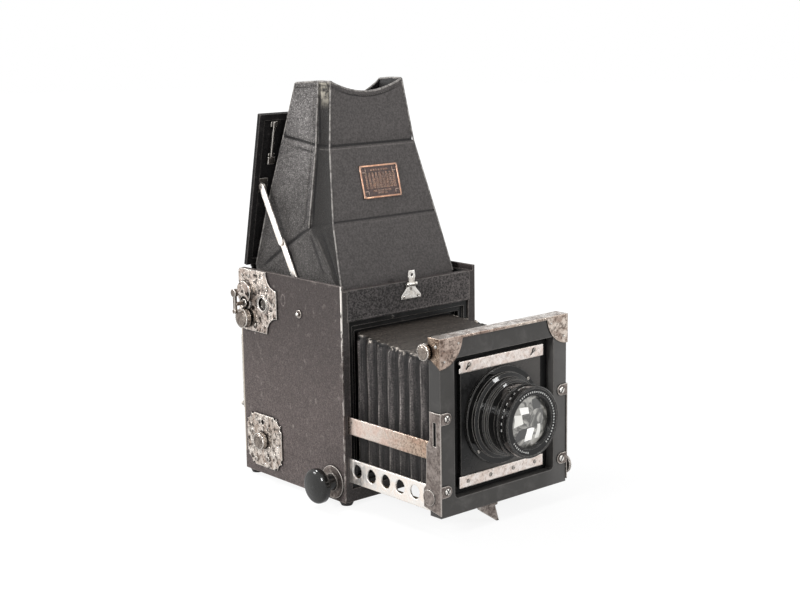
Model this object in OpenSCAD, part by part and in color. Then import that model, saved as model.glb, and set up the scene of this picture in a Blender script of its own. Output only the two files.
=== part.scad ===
// Large box reflex camera for glass plates, racked out and with its viewing hood raised.
// The origin is the mouth of the tripod bush in the base, +X to the camera's left as it looks
// at the viewer, -Y forwards through the lens, +Z up. All lengths are in millimetres.

/* [Body] */
// Width over the covered sides
body_w = 192; // [184:1:210]
// Depth from the front face to the back edge of the sides
body_d = 182; // [178:1:200]
// Height of the side walls above the base
body_h = 235; // [232:1:250]
// Thickness of the wooden front wall
wall = 8; // [7:0.5:9]
// Thickness of the floor
floor_t = 10; // [8:0.5:12]
// Radius of the tripod thread's core
bush_r = 4; // [3:0.1:4.2]
// Height of the feet under the base
foot_h = 5; // [3:0.5:8]
// How far the lid and front panel sit below the top of the sides
lid_drop = 6; // [5:0.5:8]
// Thickness of the side lip that stands beside the lid
lip_t = 3.2; // [2.5:0.1:4]
// Side margin left beside the front opening
front_margin = 10; // [9:0.5:12]
// Bottom of the front opening
open_z0 = 14; // [12:0.5:16]
// Drop of the front opening's top below the top of the sides
open_drop = 39; // [36:0.5:41]
// Width of each step of the black front trim
trim_w = 5.5; // [4:0.5:6]

/* [Viewing screen and mirror] */
// Drop of the screen frame's underside below the top of the sides
screen_drop = 45; // [43:0.5:47]
// Thickness of the screen frame
screen_t = 6; // [5:0.5:8]
// Thickness of the ground glass
glass_t = 2.2; // [1.5:0.1:3]
// Angle of the mirror below level when it is down
mirror_down = 45; // [40:1:48]
// Thickness of the mirror's tray
mirror_tray_t = 3; // [2:0.5:4]
// Thickness of the mirror glass
mirror_t = 2; // [1.5:0.5:3]
// Radius of the mirror's pivot
mirror_pivot_r = 2.5; // [2:0.25:3]

/* [Curtain shutter and back] */
// Radius of the curtain rollers
roller_r = 5; // [4:0.5:6]
// Radius of the roller journals
journal_r = 2.5; // [2:0.25:3]
// Drop of the upper roller's axis below the top of the sides
roller_drop = 56; // [55:0.5:58]
// Height of the lower roller's axis
roller_z0 = 32; // [28:0.5:34]
// Bottom of the picture window above the floor
window_low = 37; // [35:0.5:42]
// Top of the picture window below the screen
window_high = 23; // [21:0.5:28]
// Side margin beside the picture window
window_side = 7.6; // [6.6:0.5:12.6]
// Thickness of the back frame
back_t = 8; // [7:0.5:10]
// Thickness of the lift-out back panel
panel_t = 5; // [4:0.5:6]
// Thickness of the sliding back lock
lock_t = 2.2; // [1.5:0.1:3]

/* [Front standard] */
// Distance from the body's front face to the back of the standard
rack_out = 129; // [125:1:140]
// Bottom of the standard above the base
std_z0 = 18; // [17:0.5:19]
// Height of the standard's wooden frame
std_h = 182; // [180:1:184]
// Depth of the standard
std_d = 16; // [15:0.5:20]
// How far the body's sides stand out beyond the standard
side_margin = 6; // [5.5:0.25:7]
// Width of the standard's uprights
std_side = 19; // [17:0.5:21]
// Height of the standard's top bar
std_top = 21; // [19:0.5:23]
// Height of the standard's bottom bar
std_bottom = 17; // [16:0.5:19]
// Thickness of the nickel sheet parts
sheet_t = 1.2; // [1:0.1:1.6]
// Radius of the nickel corner plates
corner_r = 31; // [26:1:34]
// Thickness of the rails and braces
rail_t = 2; // [1.5:0.1:2.5]
// Height of the drilled rails
rail_h = 26; // [24:0.5:28]
// Underside of the drilled rails
rail_z0 = 23; // [22:0.5:24]
// Radius of the rail's holes
rail_hole_r = 7.4; // [6:0.2:8]
// Spacing of the rail's holes
rail_pitch = 23; // [20:0.5:26]
// Underside of the braces
brace_z0 = 76; // [74:0.5:80]
// Height of the braces
brace_h = 18.5; // [16:0.5:20]

/* [Rack and pinion] */
// Tooth module of the racks and pinions
tooth_m = 1; // [1:0.05:1.1]
// Number of teeth on each pinion
pinion_n = 8; // [8:1:9]
// Width of the racks
rack_w = 5; // [4:0.5:5.5]
// Play between meshing teeth
tooth_play = 0.35; // [0.3:0.05:0.45]
// Radius of the focusing shaft
shaft_r = 2; // [1.75:0.05:2]
// Distance of the focusing shaft behind the body's front face
focus_in = 20; // [18:0.5:24]
// Radius of the focusing knob
knob_r = 19; // [16:0.5:19.5]
// Distance of the knob's crown from the body's side
knob_out = 25.5; // [22:0.5:30]
// Radius of the knob's base plate on the side
knob_base_r = 18; // [14:0.5:19]

/* [Lens] */
// Gap beside the lens board in the standard's opening
board_side = 14; // [11:0.5:16]
// Height left over above and below the lens board together
board_gap = 13; // [11:0.5:16]
// Height of the strips that hold the lens board
strip_h = 12; // [10:0.5:12]
// How far the board's face lies behind the front of the standard
board_in = 6; // [5:0.5:7]
// Thickness of the lens board
board_t = 5; // [4:0.5:6]
// Thickness of the rising panel behind the board
panel_slide_t = 4; // [3:0.5:4.5]
// Gap between the lens flange and the strips
flange_gap = 2; // [1.5:0.5:6]
// How much smaller the barrel's radius is than the flange's
barrel_step = 15; // [14:0.5:16]
// How much smaller the front ring's radius is than the flange's
bezel_step = 14.5; // [13.5:0.5:14.5]
// How much smaller the clear glass's radius is than the flange's
glass_step = 25.1; // [24.6:0.5:28.1]
// Length of the lens before its board
lens_len = 45; // [42:0.5:52]
// Number of iris leaves
iris_n = 10; // [8:1:14]

/* [Hood and lid] */
// Angle of the open lid from its closed position
lid_open = 78.1; // [70:0.5:85]
// How much shorter the lid is than the body is deep
lid_short = 5.5; // [5.5:0.5:8]
// Thickness of the lid's rim
lid_t = 6; // [5:0.5:6]
// Thickness of the lid's panel inside the rim
lid_panel_t = 4; // [3:0.5:4.5]
// Width of the lid's rim
lid_rim = 7; // [5:0.5:9]
// Thickness of the hood's leather
hood_t = 1.6; // [1.2:0.1:2]
// Side margin between the hood and the inside of the body
hood_side = 7.6; // [7.6:0.5:13.1]
// Height of the hood's rim above the top of the sides
hood_rise = 207; // [180:1:220]
// Dip in the middle of the hood's upper rim
hood_dip = 7; // [0:0.5:14]
// Distance along the lid from its hinge to the stay's pivot
stay_reach = 96; // [92:1:100]
// Width of the stay's links
stay_w = 8; // [5:0.5:8]
// Thickness of the stay's links
stay_t = 1.8; // [1.4:0.1:2]

/* [Bellows] */
// Number of pleats
pleats = 8; // [6:1:10]
// Depth of each pleat
pleat_d = 6.5; // [4:0.5:8]
// Thickness of the bellows cloth
bellows_t = 1.4; // [1:0.1:2]
// Side margin between the bellows and the outside of the standard
bellows_side = 11; // [10:0.5:14]

/* [Side fittings] */
// Radius of the knurled curtain knob
curtain_knob_r = 11.5; // [9:0.5:11.5]
// Radius of the knurled tension knob
tension_knob_r = 10; // [8:0.5:12]
// Reach of the winding key's long wing
key_half = 13; // [10:0.5:14]
// Radius of the winding key's stem
key_stem_r = 2.2; // [1.8:0.1:2.5]
// Radius of the curtain dial
dial_r = 8.6; // [7:0.2:9]
// Thickness of the nickel side plates
plate_t = 2; // [1.5:0.1:2.5]
// Travel of the release button
button_travel = 2.5; // [1.5:0.5:3]

/* [Hidden] */
$fn = 96;
clear = 0.3;
run = 0.05;
eps = 0.01;
groove = 0.4;
half_w = body_w / 2;
std_hw = half_w - side_margin;
rail_x0 = std_hw - rail_t;
in_x = rail_x0 - groove;
side_t = half_w - in_x;
front_y = -body_d / 2;
back_y = body_d / 2;
front_top = body_h - lid_drop;
open_z1 = body_h - open_drop;
screen_z = body_h - screen_drop;
roller_z1 = body_h - roller_drop;
window_z0 = floor_t + window_low;
window_z1 = screen_z - window_high;
window_hw = in_x - window_side;
hood_hw = in_x - hood_side;
lid_len = body_d - lid_short;
open_hw = half_w - front_margin;
screen_top = screen_z + screen_t;
film_y = back_y - panel_t;
back_in_y = back_y - back_t;
roller_y = back_in_y - roller_r - 1;
frame_y0 = back_y - 31;
frame_y1 = frame_y0 + 4;
mirror_y = frame_y0 - 4;
mirror_z = screen_z - mirror_t - mirror_tray_t - 1;
std_back = front_y - rack_out;
std_front = std_back - std_d;
std_in_hw = std_hw - std_side;
std_in_z0 = std_z0 + std_bottom;
std_in_z1 = std_z0 + std_h - std_top;
std_top_z = std_z0 + std_h;
board_z = (std_in_z0 + std_in_z1) / 2;
board_h = std_in_z1 - std_in_z0 - board_gap;
board_hw = std_in_hw - board_side;
bellows_hw = std_hw - bellows_side;
strip_hl = board_hw + 3;
strip_slot_x = board_hw - 11;
flange_r = min(board_h / 2 - strip_h - flange_gap, board_hw - 5.5);
barrel_r = flange_r - barrel_step;
bezel_r = flange_r - bezel_step;
front_glass_r = flange_r - glass_step;
bore_r = flange_r - 23.5;
tube_r = flange_r - 17.5;
ear_low = rail_z0 + 22;
ear_high = std_z0 + std_h - 80;
lug_y = std_back + 2.4;
lug_z = std_top_z - 14;
lens_z = board_z + 1;
board_y = std_front + board_in;
slide_y0 = board_y + board_t;
slide_y1 = slide_y0 + panel_slide_t;
rack_tip_z = rail_z0 + 0.2;
pitch_z = rack_tip_z + 0.8 * tooth_m;
pinion_r = tooth_m * pinion_n / 2;
tooth_pitch = tooth_m * PI;
focus_y = front_y + focus_in;
focus_z = pitch_z - pinion_r;
rail_back = focus_y + 12;
brace_back = front_y + 50;
slot_y = focus_y + 130;
hinge_y = back_y - 2.5;
hinge_z = body_h;
lid_hw = half_w - lip_t - clear;
lid_under = -lid_t + clear;
trim2_hw = open_hw - trim_w;
trim3_hw = open_hw - 2 * trim_w;
trim_y1 = front_y + 2;
trim_y2 = front_y + 5;
trim_y3 = front_y + 11.5;
trim_t3 = 4;
mount_hw = trim3_hw - 14;
mount_z0 = open_z0 + 3 * trim_w + 6;
mount_z1 = open_z1 - 3 * trim_w - 7;
mirror_len = mirror_y - (trim_y3 + trim_t3) - 5;
stay_x = -in_x + 1.4;
stay_low_x = stay_x + stay_t + clear;
anchor_y = -6.7;
anchor_z = front_top - 18.5;
// Pivot of the stay on the lid, first with the lid closed and then as it stands open
stay_cy = -stay_reach;
stay_cz = lid_under - 5;
stay_by = hinge_y + stay_cy * cos(lid_open) + stay_cz * sin(lid_open);
stay_bz = hinge_z - stay_cy * sin(lid_open) + stay_cz * cos(lid_open);
knee_y = (stay_by + anchor_y) / 2;
knee_z = (stay_bz + anchor_z) / 2;
stay_len = norm([stay_by - anchor_y, stay_bz - anchor_z]) / 2;
stay_angle = atan2(stay_bz - anchor_z, stay_by - anchor_y);
plate_y0 = back_y - 70;
plate_z0 = body_h - 70;
key_y = back_y - 14;
key_z = body_h - 39;
curtain_knob_y = roller_y;
dial_y = back_y - 45;
dial_z = body_h - 37;
low_y0 = back_y - 72;
low_y1 = back_y - 7;
low_z0 = 9;
low_z1 = 70;
tension_y = back_y - 37;
tension_z = 40;
button_y = front_y + 72.5;
button_z = body_h - 39;
hinge_x = lid_hw - 12.5;
lock_x = window_hw + 4 + clear;
lock_z0 = low_z1 + 1;
lock_z1 = body_h - 79;
latch_z = front_top - 3;
foot_x0 = -30.3;
foot_x1 = -8.7;
foot_y = std_front + 7;
foot_z = std_z0 - 3.4;

// Rows of the hood from the screen up: half widths of the front, side fold and rear corners,
// their places in y, and their heights
hood_top = body_h + hood_rise;
hood_rows = [
  [hood_hw, hood_hw, hood_hw, front_y + 19, front_y + 30, back_in_y - 2, screen_top, screen_top, screen_top, 0],
  [hood_hw, hood_hw, hood_hw, front_y + 19, front_y + 29, back_in_y - 2, front_top, front_top + 3, body_h + 1, 0],
  [hood_hw - 7, hood_hw - 7.5, hood_hw - 6, front_y + 39, front_y + 82, back_y - 27, hood_top - 148, hood_top - 156, hood_top - 138, 0],
  [hood_hw - 20.5, hood_hw - 20, hood_hw - 15, front_y + 59, front_y + 82, back_y - 48, hood_top - 69, hood_top - 69, hood_top - 61, 0],
  [hood_hw - 30, hood_hw - 29, hood_hw - 20, front_y + 67, front_y + 87, back_y - 66, hood_top, hood_top, hood_top - 2, hood_dip]
];

// Helpers

// Box from its low corner to its high corner
module span(a, b) {
  translate(a) cube(b - a);
}

// Rectangle centred on the origin with rounded corners
module round_rect(w, h, r) {
  square([w, h - 2 * r], center = true);
  square([w - 2 * r, h], center = true);
  for (x = [-1, 1], y = [-1, 1])
    translate([x * (w / 2 - r), y * (h / 2 - r)]) circle(r);
}

// Flat bar with round ends between two points of a plane
module link_shape(p, q, w) {
  d = q - p;
  translate(p) rotate(atan2(d[1], d[0])) {
    translate([0, -w / 2]) square([norm(d), w]);
    circle(w / 2);
    translate([norm(d), 0]) circle(w / 2);
  }
}

// Outline with evenly spaced ridges
module knurl_shape(r, depth, n) {
  polygon([for (i = [0 : 2 * n - 1])
    let (a = i * 180 / n, q = i % 2 == 0 ? r : r - depth) [q * cos(a), q * sin(a)]]);
}

// Local x runs along world z, local y along world y and local z out of the left side
module out_left(x, y, z) {
  translate([x, y, z]) rotate([0, -90, 0]) children();
}

// Local x runs along world -z, local y along world y and local z out of the right side
module out_right(x, y, z) {
  translate([x, y, z]) rotate([0, 90, 0]) children();
}

// Local x runs along world x, local y along world z and local z out of the front
module out_front(x, y, z) {
  translate([x, y, z]) rotate([90, 0, 0]) children();
}

// Profile in the y-z plane, extruded from x0 to x1
module slab_yz(x0, x1) {
  translate([x0, 0, 0]) rotate([90, 0, 90]) linear_extrude(x1 - x0) children();
}

// Screw head with a slot, its underside at z = 0
module slot_screw(r, h, turn = 0) {
  rotate(turn) difference() {
    union() {
      cylinder(h = h * 0.5, r = r);
      translate([0, 0, h * 0.5]) cylinder(h = h * 0.5, r1 = r, r2 = r * 0.8);
    }
    translate([-r - 1, -r * 0.13, h * 0.5]) cube([2 * r + 2, r * 0.26, h]);
  }
}

module both_sides() {
  children();
  mirror([1, 0, 0]) children();
}

// Rectangular ring in the x-z plane from y0 to y1
module ring_xz(hw, z0, z1, in_hw, in_z0, in_z1, y0, y1) {
  difference() {
    span([-hw, y0, z0], [hw, y1, z1]);
    span([-in_hw, y0 - 1, in_z0], [in_hw, y1 + 1, in_z1]);
  }
}

// Body

module case() {
  color([0.41, 0.37, 0.36]) difference() {
    span([-half_w, front_y, 0], [half_w, back_y, body_h]);
    // Inside, open at the top and the back
    span([-in_x, front_y + wall, floor_t], [in_x, back_y + 1, body_h + 1]);
    // Seat of the lid between the side lips
    span([-half_w + lip_t, front_y - 1, front_top], [half_w - lip_t, back_y + 1, body_h + 1]);
    // Front opening
    span([-open_hw, front_y - 1, open_z0], [open_hw, front_y + wall + 1, open_z1]);
    // Seat of the covered front panel
    span([-in_x, front_y - 1, open_z1], [in_x, front_y + 1.8, front_top + 1]);
    both_sides() {
      // Ways for the rails and braces, cut into the sides and through the front
      span([rail_x0 - 3, front_y - 1, rail_z0 - groove], [std_hw + groove, front_y + wall + 1, rail_z0 + rail_h + groove]);
      span([in_x - 1, front_y + 1, rail_z0 - groove], [std_hw + groove, slot_y, rail_z0 + rail_h + groove]);
      span([rail_x0 - 3, front_y - 1, brace_z0 - groove], [std_hw + groove, front_y + wall + 1, brace_z0 + brace_h + groove]);
      span([in_x - 1, front_y + 1, brace_z0 - groove], [std_hw + groove, back_in_y - 1, brace_z0 + brace_h + groove]);
    }
    // Bearings of the focusing shaft
    translate([-half_w - 1, focus_y, focus_z]) rotate([0, 90, 0]) cylinder(h = side_t + 2, r = shaft_r + run);
    translate([in_x - 1, focus_y, focus_z]) rotate([0, 90, 0]) cylinder(h = side_t - 2, r = shaft_r + run);
    // Bearings of the mirror
    translate([-in_x - 4, mirror_y, mirror_z]) rotate([0, 90, 0]) cylinder(h = 5, r = mirror_pivot_r + run);
    translate([in_x - 1, mirror_y, mirror_z]) rotate([0, 90, 0]) cylinder(h = side_t + 2, r = mirror_pivot_r + run);
    // Passage of the upper roller's journal
    out_left(-in_x + 1, roller_y, roller_z1) cylinder(h = side_t + 2, r = journal_r + run);
    // Blind bearings of the key, the tension knob, the dial and the button
    out_left(-half_w + side_t - 2.7, key_y, key_z) cylinder(h = side_t, r = key_stem_r + run);
    out_left(-half_w + side_t - 3.2, tension_y, tension_z) cylinder(h = side_t, r = 3 + run);
    out_left(-half_w + 2.4, dial_y, dial_z) cylinder(h = 4, r = dial_r + clear);
    out_left(-half_w + side_t - 2.7, dial_y, dial_z) cylinder(h = side_t, r = 1.5 + run);
    out_left(-half_w + side_t - 2, button_y, button_z) cylinder(h = side_t, r = 2 + run);
    // Tripod bush
    translate([0, 0, -1]) cylinder(h = floor_t + 2, r = 8);
    translate([0, 0, -1]) cylinder(h = 3, r = 13);
    // Pivot of the stay
    out_left(-in_x + 1, anchor_y, anchor_z) cylinder(h = 5, r = 1.82);
    // Rounded rear corners of the side lips
    difference() {
      span([-half_w - 1, back_y - 5.5, body_h - 5.5], [half_w + 1, back_y + 1, body_h + 1]);
      translate([-half_w - 2, back_y - 5.5, body_h - 5.5]) rotate([0, 90, 0]) cylinder(h = body_w + 4, r = 5.5);
    }
  }
}

module front_panel() {
  color([0.19, 0.18, 0.18]) {
    span([-in_x, front_y, open_z1 + 2.2], [in_x, front_y + 1.8, front_top]);
    // Moulding along the lower edge
    translate([-in_x, front_y + 0.6, open_z1 + 1.1]) rotate([0, 90, 0]) cylinder(h = 2 * in_x, r = 1.1);
  }
}

module front_trim() {
  color([0.08, 0.08, 0.08]) difference() {
    union() {
      ring_xz(open_hw, open_z0, open_z1, trim2_hw, open_z0 + trim_w, open_z1 - trim_w, trim_y1, front_y + wall);
      ring_xz(trim2_hw, open_z0 + trim_w, open_z1 - trim_w, trim3_hw, open_z0 + 2 * trim_w, open_z1 - 2 * trim_w,
        trim_y2, front_y + wall);
      ring_xz(open_hw, open_z0, screen_z, mount_hw, mount_z0, mount_z1, trim_y3, trim_y3 + trim_t3);
      ring_xz(open_hw, open_z0, screen_z, trim3_hw, open_z0 + 2 * trim_w, open_z1 - 2 * trim_w,
        front_y + wall, trim_y3);
      translate([-24, trim_y1, open_z1 - trim_w / 2]) rotate([90, 0, 0]) cylinder(h = 1, r = 1.2);
    }
    // Ways for the racks
    both_sides()
      span([in_x - rack_w - 1, front_y - 1, rail_z0 - 1], [in_x + 1, trim_y3 + trim_t3 + 1, rail_z0 + 7.5]);
    // Ways for the pinions, which run under the racks
    both_sides()
      span([in_x - rack_w - 1, focus_y - pinion_r - 2, open_z0 - 1], [in_x + 1, trim_y3 + trim_t3 + 1, rail_z0]);
  }
}

module case_feet() {
  color([0.2, 0.18, 0.17]) for (x = [-1, 1], y = [front_y + 9, back_y - 9])
    translate([x * (half_w - 9), y, -foot_h]) cylinder(h = foot_h, r1 = 6, r2 = 8.5);
}

module tripod_bush() {
  color([0.68, 0.6, 0.42]) difference() {
    union() {
      cylinder(h = 2, r = 13);
      cylinder(h = floor_t, r = 8);
    }
    translate([0, 0, -1]) cylinder(h = floor_t, r = bush_r);
    for (a = [0 : 120 : 240])
      rotate(a + 30) translate([10.5, 0, -1]) cylinder(h = 4, r = 1.2);
  }
}

module screen_frame() {
  color([0.1, 0.09, 0.09]) difference() {
    span([-in_x, front_y + wall, screen_z], [in_x, back_in_y, screen_top]);
    span([-in_x + 10, front_y + wall + 9, screen_z - 1], [in_x - 10, frame_y0 - 10, screen_top + 1]);
    span([-in_x + 6, front_y + wall + 5, screen_top - glass_t - 0.6], [in_x - 6, frame_y0 - 6, screen_top + 1]);
  }
}

module ground_glass() {
  color([0.75, 0.8, 0.8, 0.6])
    span([-in_x + 6.3, front_y + wall + 5.3, screen_top - glass_t - 0.6], [in_x - 6.3, frame_y0 - 6.3, screen_top - 0.6]);
}

module shutter_frame() {
  ear_x = in_x - 4;
  color([0.1, 0.09, 0.09]) difference() {
    union() {
      ring_xz(in_x, floor_t, screen_z, window_hw, window_z0, window_z1, frame_y0, frame_y1);
      both_sides() for (z = [roller_z0, roller_z1])
        span([ear_x, frame_y1 - eps, z - 9], [in_x, back_in_y, min(z + 9, screen_z)]);
    }
    for (z = [roller_z0, roller_z1])
      translate([-in_x - 1, roller_y, z]) rotate([0, 90, 0]) cylinder(h = 2 * in_x + 2, r = journal_r + run);
  }
}

module curtain() {
  y1 = roller_y - roller_r - clear;
  color([0.07, 0.07, 0.08]) difference() {
    span([-window_hw - 3, y1 - 0.5, roller_z0], [window_hw + 3, y1, roller_z1]);
    span([-window_hw + 4, y1 - 2, window_z0 + 42], [window_hw - 4, y1 + 1, window_z1 - 42]);
  }
}

module roller(z, left) {
  translate([-in_x + 4 + clear, roller_y, z]) rotate([0, 90, 0]) cylinder(h = 2 * (in_x - 4 - clear), r = roller_r);
  translate([-left, roller_y, z]) rotate([0, 90, 0]) cylinder(h = left + in_x - 0.5, r = journal_r);
}

module roller_upper() {
  color([0.55, 0.4, 0.25]) roller(roller_z1, half_w + plate_t + 5);
}

module roller_lower() {
  color([0.55, 0.4, 0.25]) roller(roller_z0, in_x - 0.5);
}

// The mirror's parts are drawn level, hinge at the origin, then swung down
module mirror_place() {
  translate([0, mirror_y, mirror_z]) rotate([mirror_down, 0, 0]) children();
}

module mirror_tray() {
  hw = in_x - 6;
  color([0.12, 0.12, 0.12]) mirror_place() difference() {
    union() {
      span([-hw, -mirror_len, -mirror_tray_t], [hw, 0, 0]);
      translate([-hw, 0, 0]) rotate([0, 90, 0]) cylinder(h = 2 * hw, r = mirror_pivot_r + 0.7);
      translate([-in_x - 3.5, 0, 0]) rotate([0, 90, 0]) cylinder(h = in_x + 3.5 + half_w + 3.2, r = mirror_pivot_r);
    }
    // Lightening windows behind the glass
    for (x = [-1, 1])
      span([x < 0 ? -hw + 12 : 6, -mirror_len + 14, -mirror_tray_t - 1], [x < 0 ? -6 : hw - 12, -14, -mirror_tray_t + 1.2]);
  }
}

module mirror_glass() {
  hw = in_x - 9;
  color([0.8, 0.84, 0.87]) mirror_place() span([-hw, -mirror_len + 2, 0], [hw, -mirror_pivot_r - 2, mirror_t]);
}

module mirror_lever() {
  x0 = half_w + clear;
  color([0.75, 0.7, 0.65]) translate([x0, mirror_y, mirror_z]) rotate([90, 0, 90]) difference() {
    union() {
      linear_extrude(2) link_shape([0, 0], [-26, -16], 8);
      cylinder(h = 2.8, r = 6);
      translate([-26, -16, 0]) cylinder(h = 6, r = 3.6);
    }
    translate([0, 0, -1]) cylinder(h = 6, r = mirror_pivot_r + 0.02);
  }
}

module back_frame() {
  color([0.3, 0.26, 0.25]) difference() {
    span([-in_x, back_in_y, floor_t], [in_x, back_y, front_top]);
    span([-window_hw, back_in_y - 1, window_z0], [window_hw, back_y + 1, window_z1]);
    span([-window_hw - 4, film_y, window_z0 - 7], [window_hw + 4, back_y + 1, window_z1 + 7]);
    // Rebate in which the lock's lip slides
    span([-in_x - 1, back_y - 2.8, lock_z0 - 1], [-window_hw - 3, back_y + 1, lock_z1 + 9]);
  }
}

module back_panel() {
  color([0.16, 0.15, 0.15]) difference() {
    span([-window_hw - 3.7, film_y, window_z0 - 6.7], [window_hw + 3.7, back_y, window_z1 + 6.7]);
    span([-window_hw + 12, back_y - 1.2, window_z0 + 12], [window_hw - 12, back_y + 1, window_z1 - 12]);
  }
}

// Upright bar behind the left side, with a lip that holds the back frame and a stud to slide it
module back_lock() {
  y0 = back_y + clear;
  y1 = y0 + lock_t;
  color([0.8, 0.76, 0.7]) {
    span([-half_w + 0.5, y0, lock_z0], [-lock_x, y1, lock_z1]);
    span([-in_x + clear, back_y - 2.5, lock_z0], [-lock_x, y1, lock_z1]);
    translate([-half_w + 5, y1 - eps, lock_z0 + 3]) rotate([-90, 0, 0]) cylinder(h = 5.5, r = 2);
    translate([-half_w + 5, y1 + 5, lock_z0 + 3]) rotate([-90, 0, 0]) cylinder(h = 1.8, r = 3);
  }
}

module plate_upper() {
  w = 70;
  color([0.78, 0.73, 0.67]) out_left(-half_w, 0, 0) difference() {
    union() {
      linear_extrude(plate_t) difference() {
        translate([plate_z0, plate_y0]) square([w - 0.6, w]);
        for (p = [[plate_z0, plate_y0, 19], [plate_z0 + w - 0.6, plate_y0, 19], [plate_z0, plate_y0 + w, 7]])
          translate([p[0], p[1]]) circle(p[2]);
        // Corner rounded like the case
        translate([body_h - 5.5, back_y - 5.5]) difference() {
          square(7);
          circle(5.5);
        }
      }
      // Round boss, raised ring round the key and rim round the dial
      translate([key_z + 12, key_y + 1, plate_t - eps]) cylinder(h = 3.6, r = 12.4);
      translate([key_z, key_y, plate_t - eps]) cylinder(h = 1.6, r = 9);
      translate([dial_z, dial_y, plate_t - eps]) cylinder(h = 0.8, r = dial_r + 2.2);
    }
    translate([key_z, key_y, -1]) cylinder(h = 8, r = key_stem_r + run);
    translate([key_z, key_y, plate_t + 0.6]) cylinder(h = 9, r = 5.2);
    translate([key_z, key_y, plate_t + 0.9]) cylinder(h = 9, r = 7.6);
    translate([dial_z, dial_y, -1]) cylinder(h = 8, r = dial_r + clear);
    translate([roller_z1, roller_y, -1]) cylinder(h = 8, r = journal_r + run);
  }
}

module plate_lower() {
  color([0.78, 0.73, 0.67]) out_left(-half_w, 0, 0) difference() {
    linear_extrude(plate_t) difference() {
      translate([low_z0, low_y0]) square([low_z1 - low_z0, low_y1 - low_y0]);
      for (z = [low_z0, low_z1], y = [low_y0, low_y1]) {
        translate([z, y]) circle(9);
        // Small steps that end each hollow corner
        translate([z, y + (y == low_y0 ? 11.5 : -11.5)]) circle(2.6);
        translate([z + (z == low_z0 ? 11.5 : -11.5), y]) circle(2.6);
      }
    }
    translate([tension_z, tension_y, -1]) cylinder(h = 8, r = 3 + run);
    translate([tension_z + 21, tension_y, -1]) cylinder(h = 8, r = 3);
  }
}

// Screws of the side plates, the catch and the front, and the stay's pivot stud
module case_screws() {
  color([0.82, 0.78, 0.72]) {
    for (p = [[body_h - 8, back_y - 20], [body_h - 8, back_y - 8], [plate_z0 + 8, back_y - 30], [plate_z0 + 35, plate_y0 + 5]])
      out_left(-half_w - plate_t, p[1], p[0]) slot_screw(2, 1, 35);
    for (p = [[16, back_y - 24], [20, back_y - 47]])
      out_left(-half_w - plate_t, p[1], p[0]) cylinder(h = 2, r1 = 3.4, r2 = 2.6);
    for (p = [[0, latch_z - 5.5], [-10, latch_z - 13.5], [10, latch_z - 13.5]])
      out_front(p[0], front_y - 1.3, p[1]) slot_screw(1.5, 0.7, 20);
    out_left(stay_low_x + stay_t + 0.8, anchor_y, anchor_z)
      cylinder(h = in_x + 3 + stay_low_x + stay_t + 0.8, r = 1.8);
    out_left(stay_low_x + stay_t + 1.2, anchor_y, anchor_z) cylinder(h = 1, r = 3);
  }
}

// Base of the focusing knob and ring round the release button
module side_collars() {
  color([0.3, 0.27, 0.26]) out_left(-half_w, focus_y, focus_z) difference() {
    union() {
      cylinder(h = 1.6, r = knob_base_r);
      cylinder(h = 3, r = 10);
    }
    translate([0, 0, -1]) cylinder(h = 8, r = shaft_r + run);
  }
  color([0.75, 0.7, 0.65]) out_left(-half_w, button_y, button_z) difference() {
    cylinder(h = 1.2, r = 4.6);
    translate([0, 0, -1]) cylinder(h = 4, r = 2 + run);
  }
}

module curtain_dial() {
  color([0.25, 0.22, 0.2]) out_left(-half_w + 2.2, dial_y, dial_z) {
    cylinder(h = 2.6, r = dial_r);
    translate([0, 0, -3]) cylinder(h = 3 + eps, r = 1.5);
  }
  color([0.85, 0.82, 0.78]) out_left(-half_w - 0.4 + eps, dial_y, dial_z) {
    translate([-4, 3.5, 0]) cylinder(h = 0.9, r = 1.6);
  }
}

module winding_key() {
  inner = side_t - 3;
  x0 = -half_w + inner;
  reach = plate_t + 15;
  color([0.82, 0.78, 0.72]) out_left(x0, key_y, key_z) {
    cylinder(h = inner + reach, r = key_stem_r);
    translate([0, 0, inner + plate_t + 1]) cylinder(h = 3, r = 4.6);
    translate([0, 0, inner + reach - 1]) {
      linear_extrude(3.2) link_shape([5 - key_half, 0], [key_half, 0], 3.6);
      translate([key_half, 0, 0]) cylinder(h = 4, r = 4.6);
      translate([5 - key_half, 0, 0]) cylinder(h = 3.8, r = 2.6);
    }
  }
}

module curtain_knob() {
  color([0.72, 0.66, 0.6]) out_left(-half_w - plate_t - clear, roller_y, roller_z1) difference() {
    union() {
      cylinder(h = 2.4, r = 5.4);
      translate([0, 0, 2]) linear_extrude(6) knurl_shape(curtain_knob_r, 0.7, 30);
      translate([0, 0, 8 - eps]) cylinder(h = 1.2, r1 = curtain_knob_r - 1.4, r2 = curtain_knob_r - 3.4);
    }
    translate([0, 0, -1]) cylinder(h = 6.2, r = journal_r + 0.02);
  }
}

module tension_knob() {
  color([0.75, 0.7, 0.62]) {
    out_left(-half_w - plate_t - clear, tension_y, tension_z) {
      linear_extrude(6.5) knurl_shape(tension_knob_r, 0.7, 34);
      translate([0, 0, 6.5 - eps]) cylinder(h = 1, r1 = tension_knob_r - 1.2, r2 = tension_knob_r - 3);
    }
    out_left(-half_w + side_t - 3.5, tension_y, tension_z) cylinder(h = side_t - 3.5 + plate_t + clear + 1, r = 3);
  }
}

module release_button() {
  color([0.85, 0.82, 0.78]) out_left(-half_w + 3.4, button_y, button_z) {
    cylinder(h = 3.4 + 1.2 + button_travel, r = 2);
    translate([0, 0, 3.4 + 1.2 + button_travel - eps]) cylinder(h = 0.8, r1 = 2, r2 = 1.1);
  }
}

// Focusing

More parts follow.
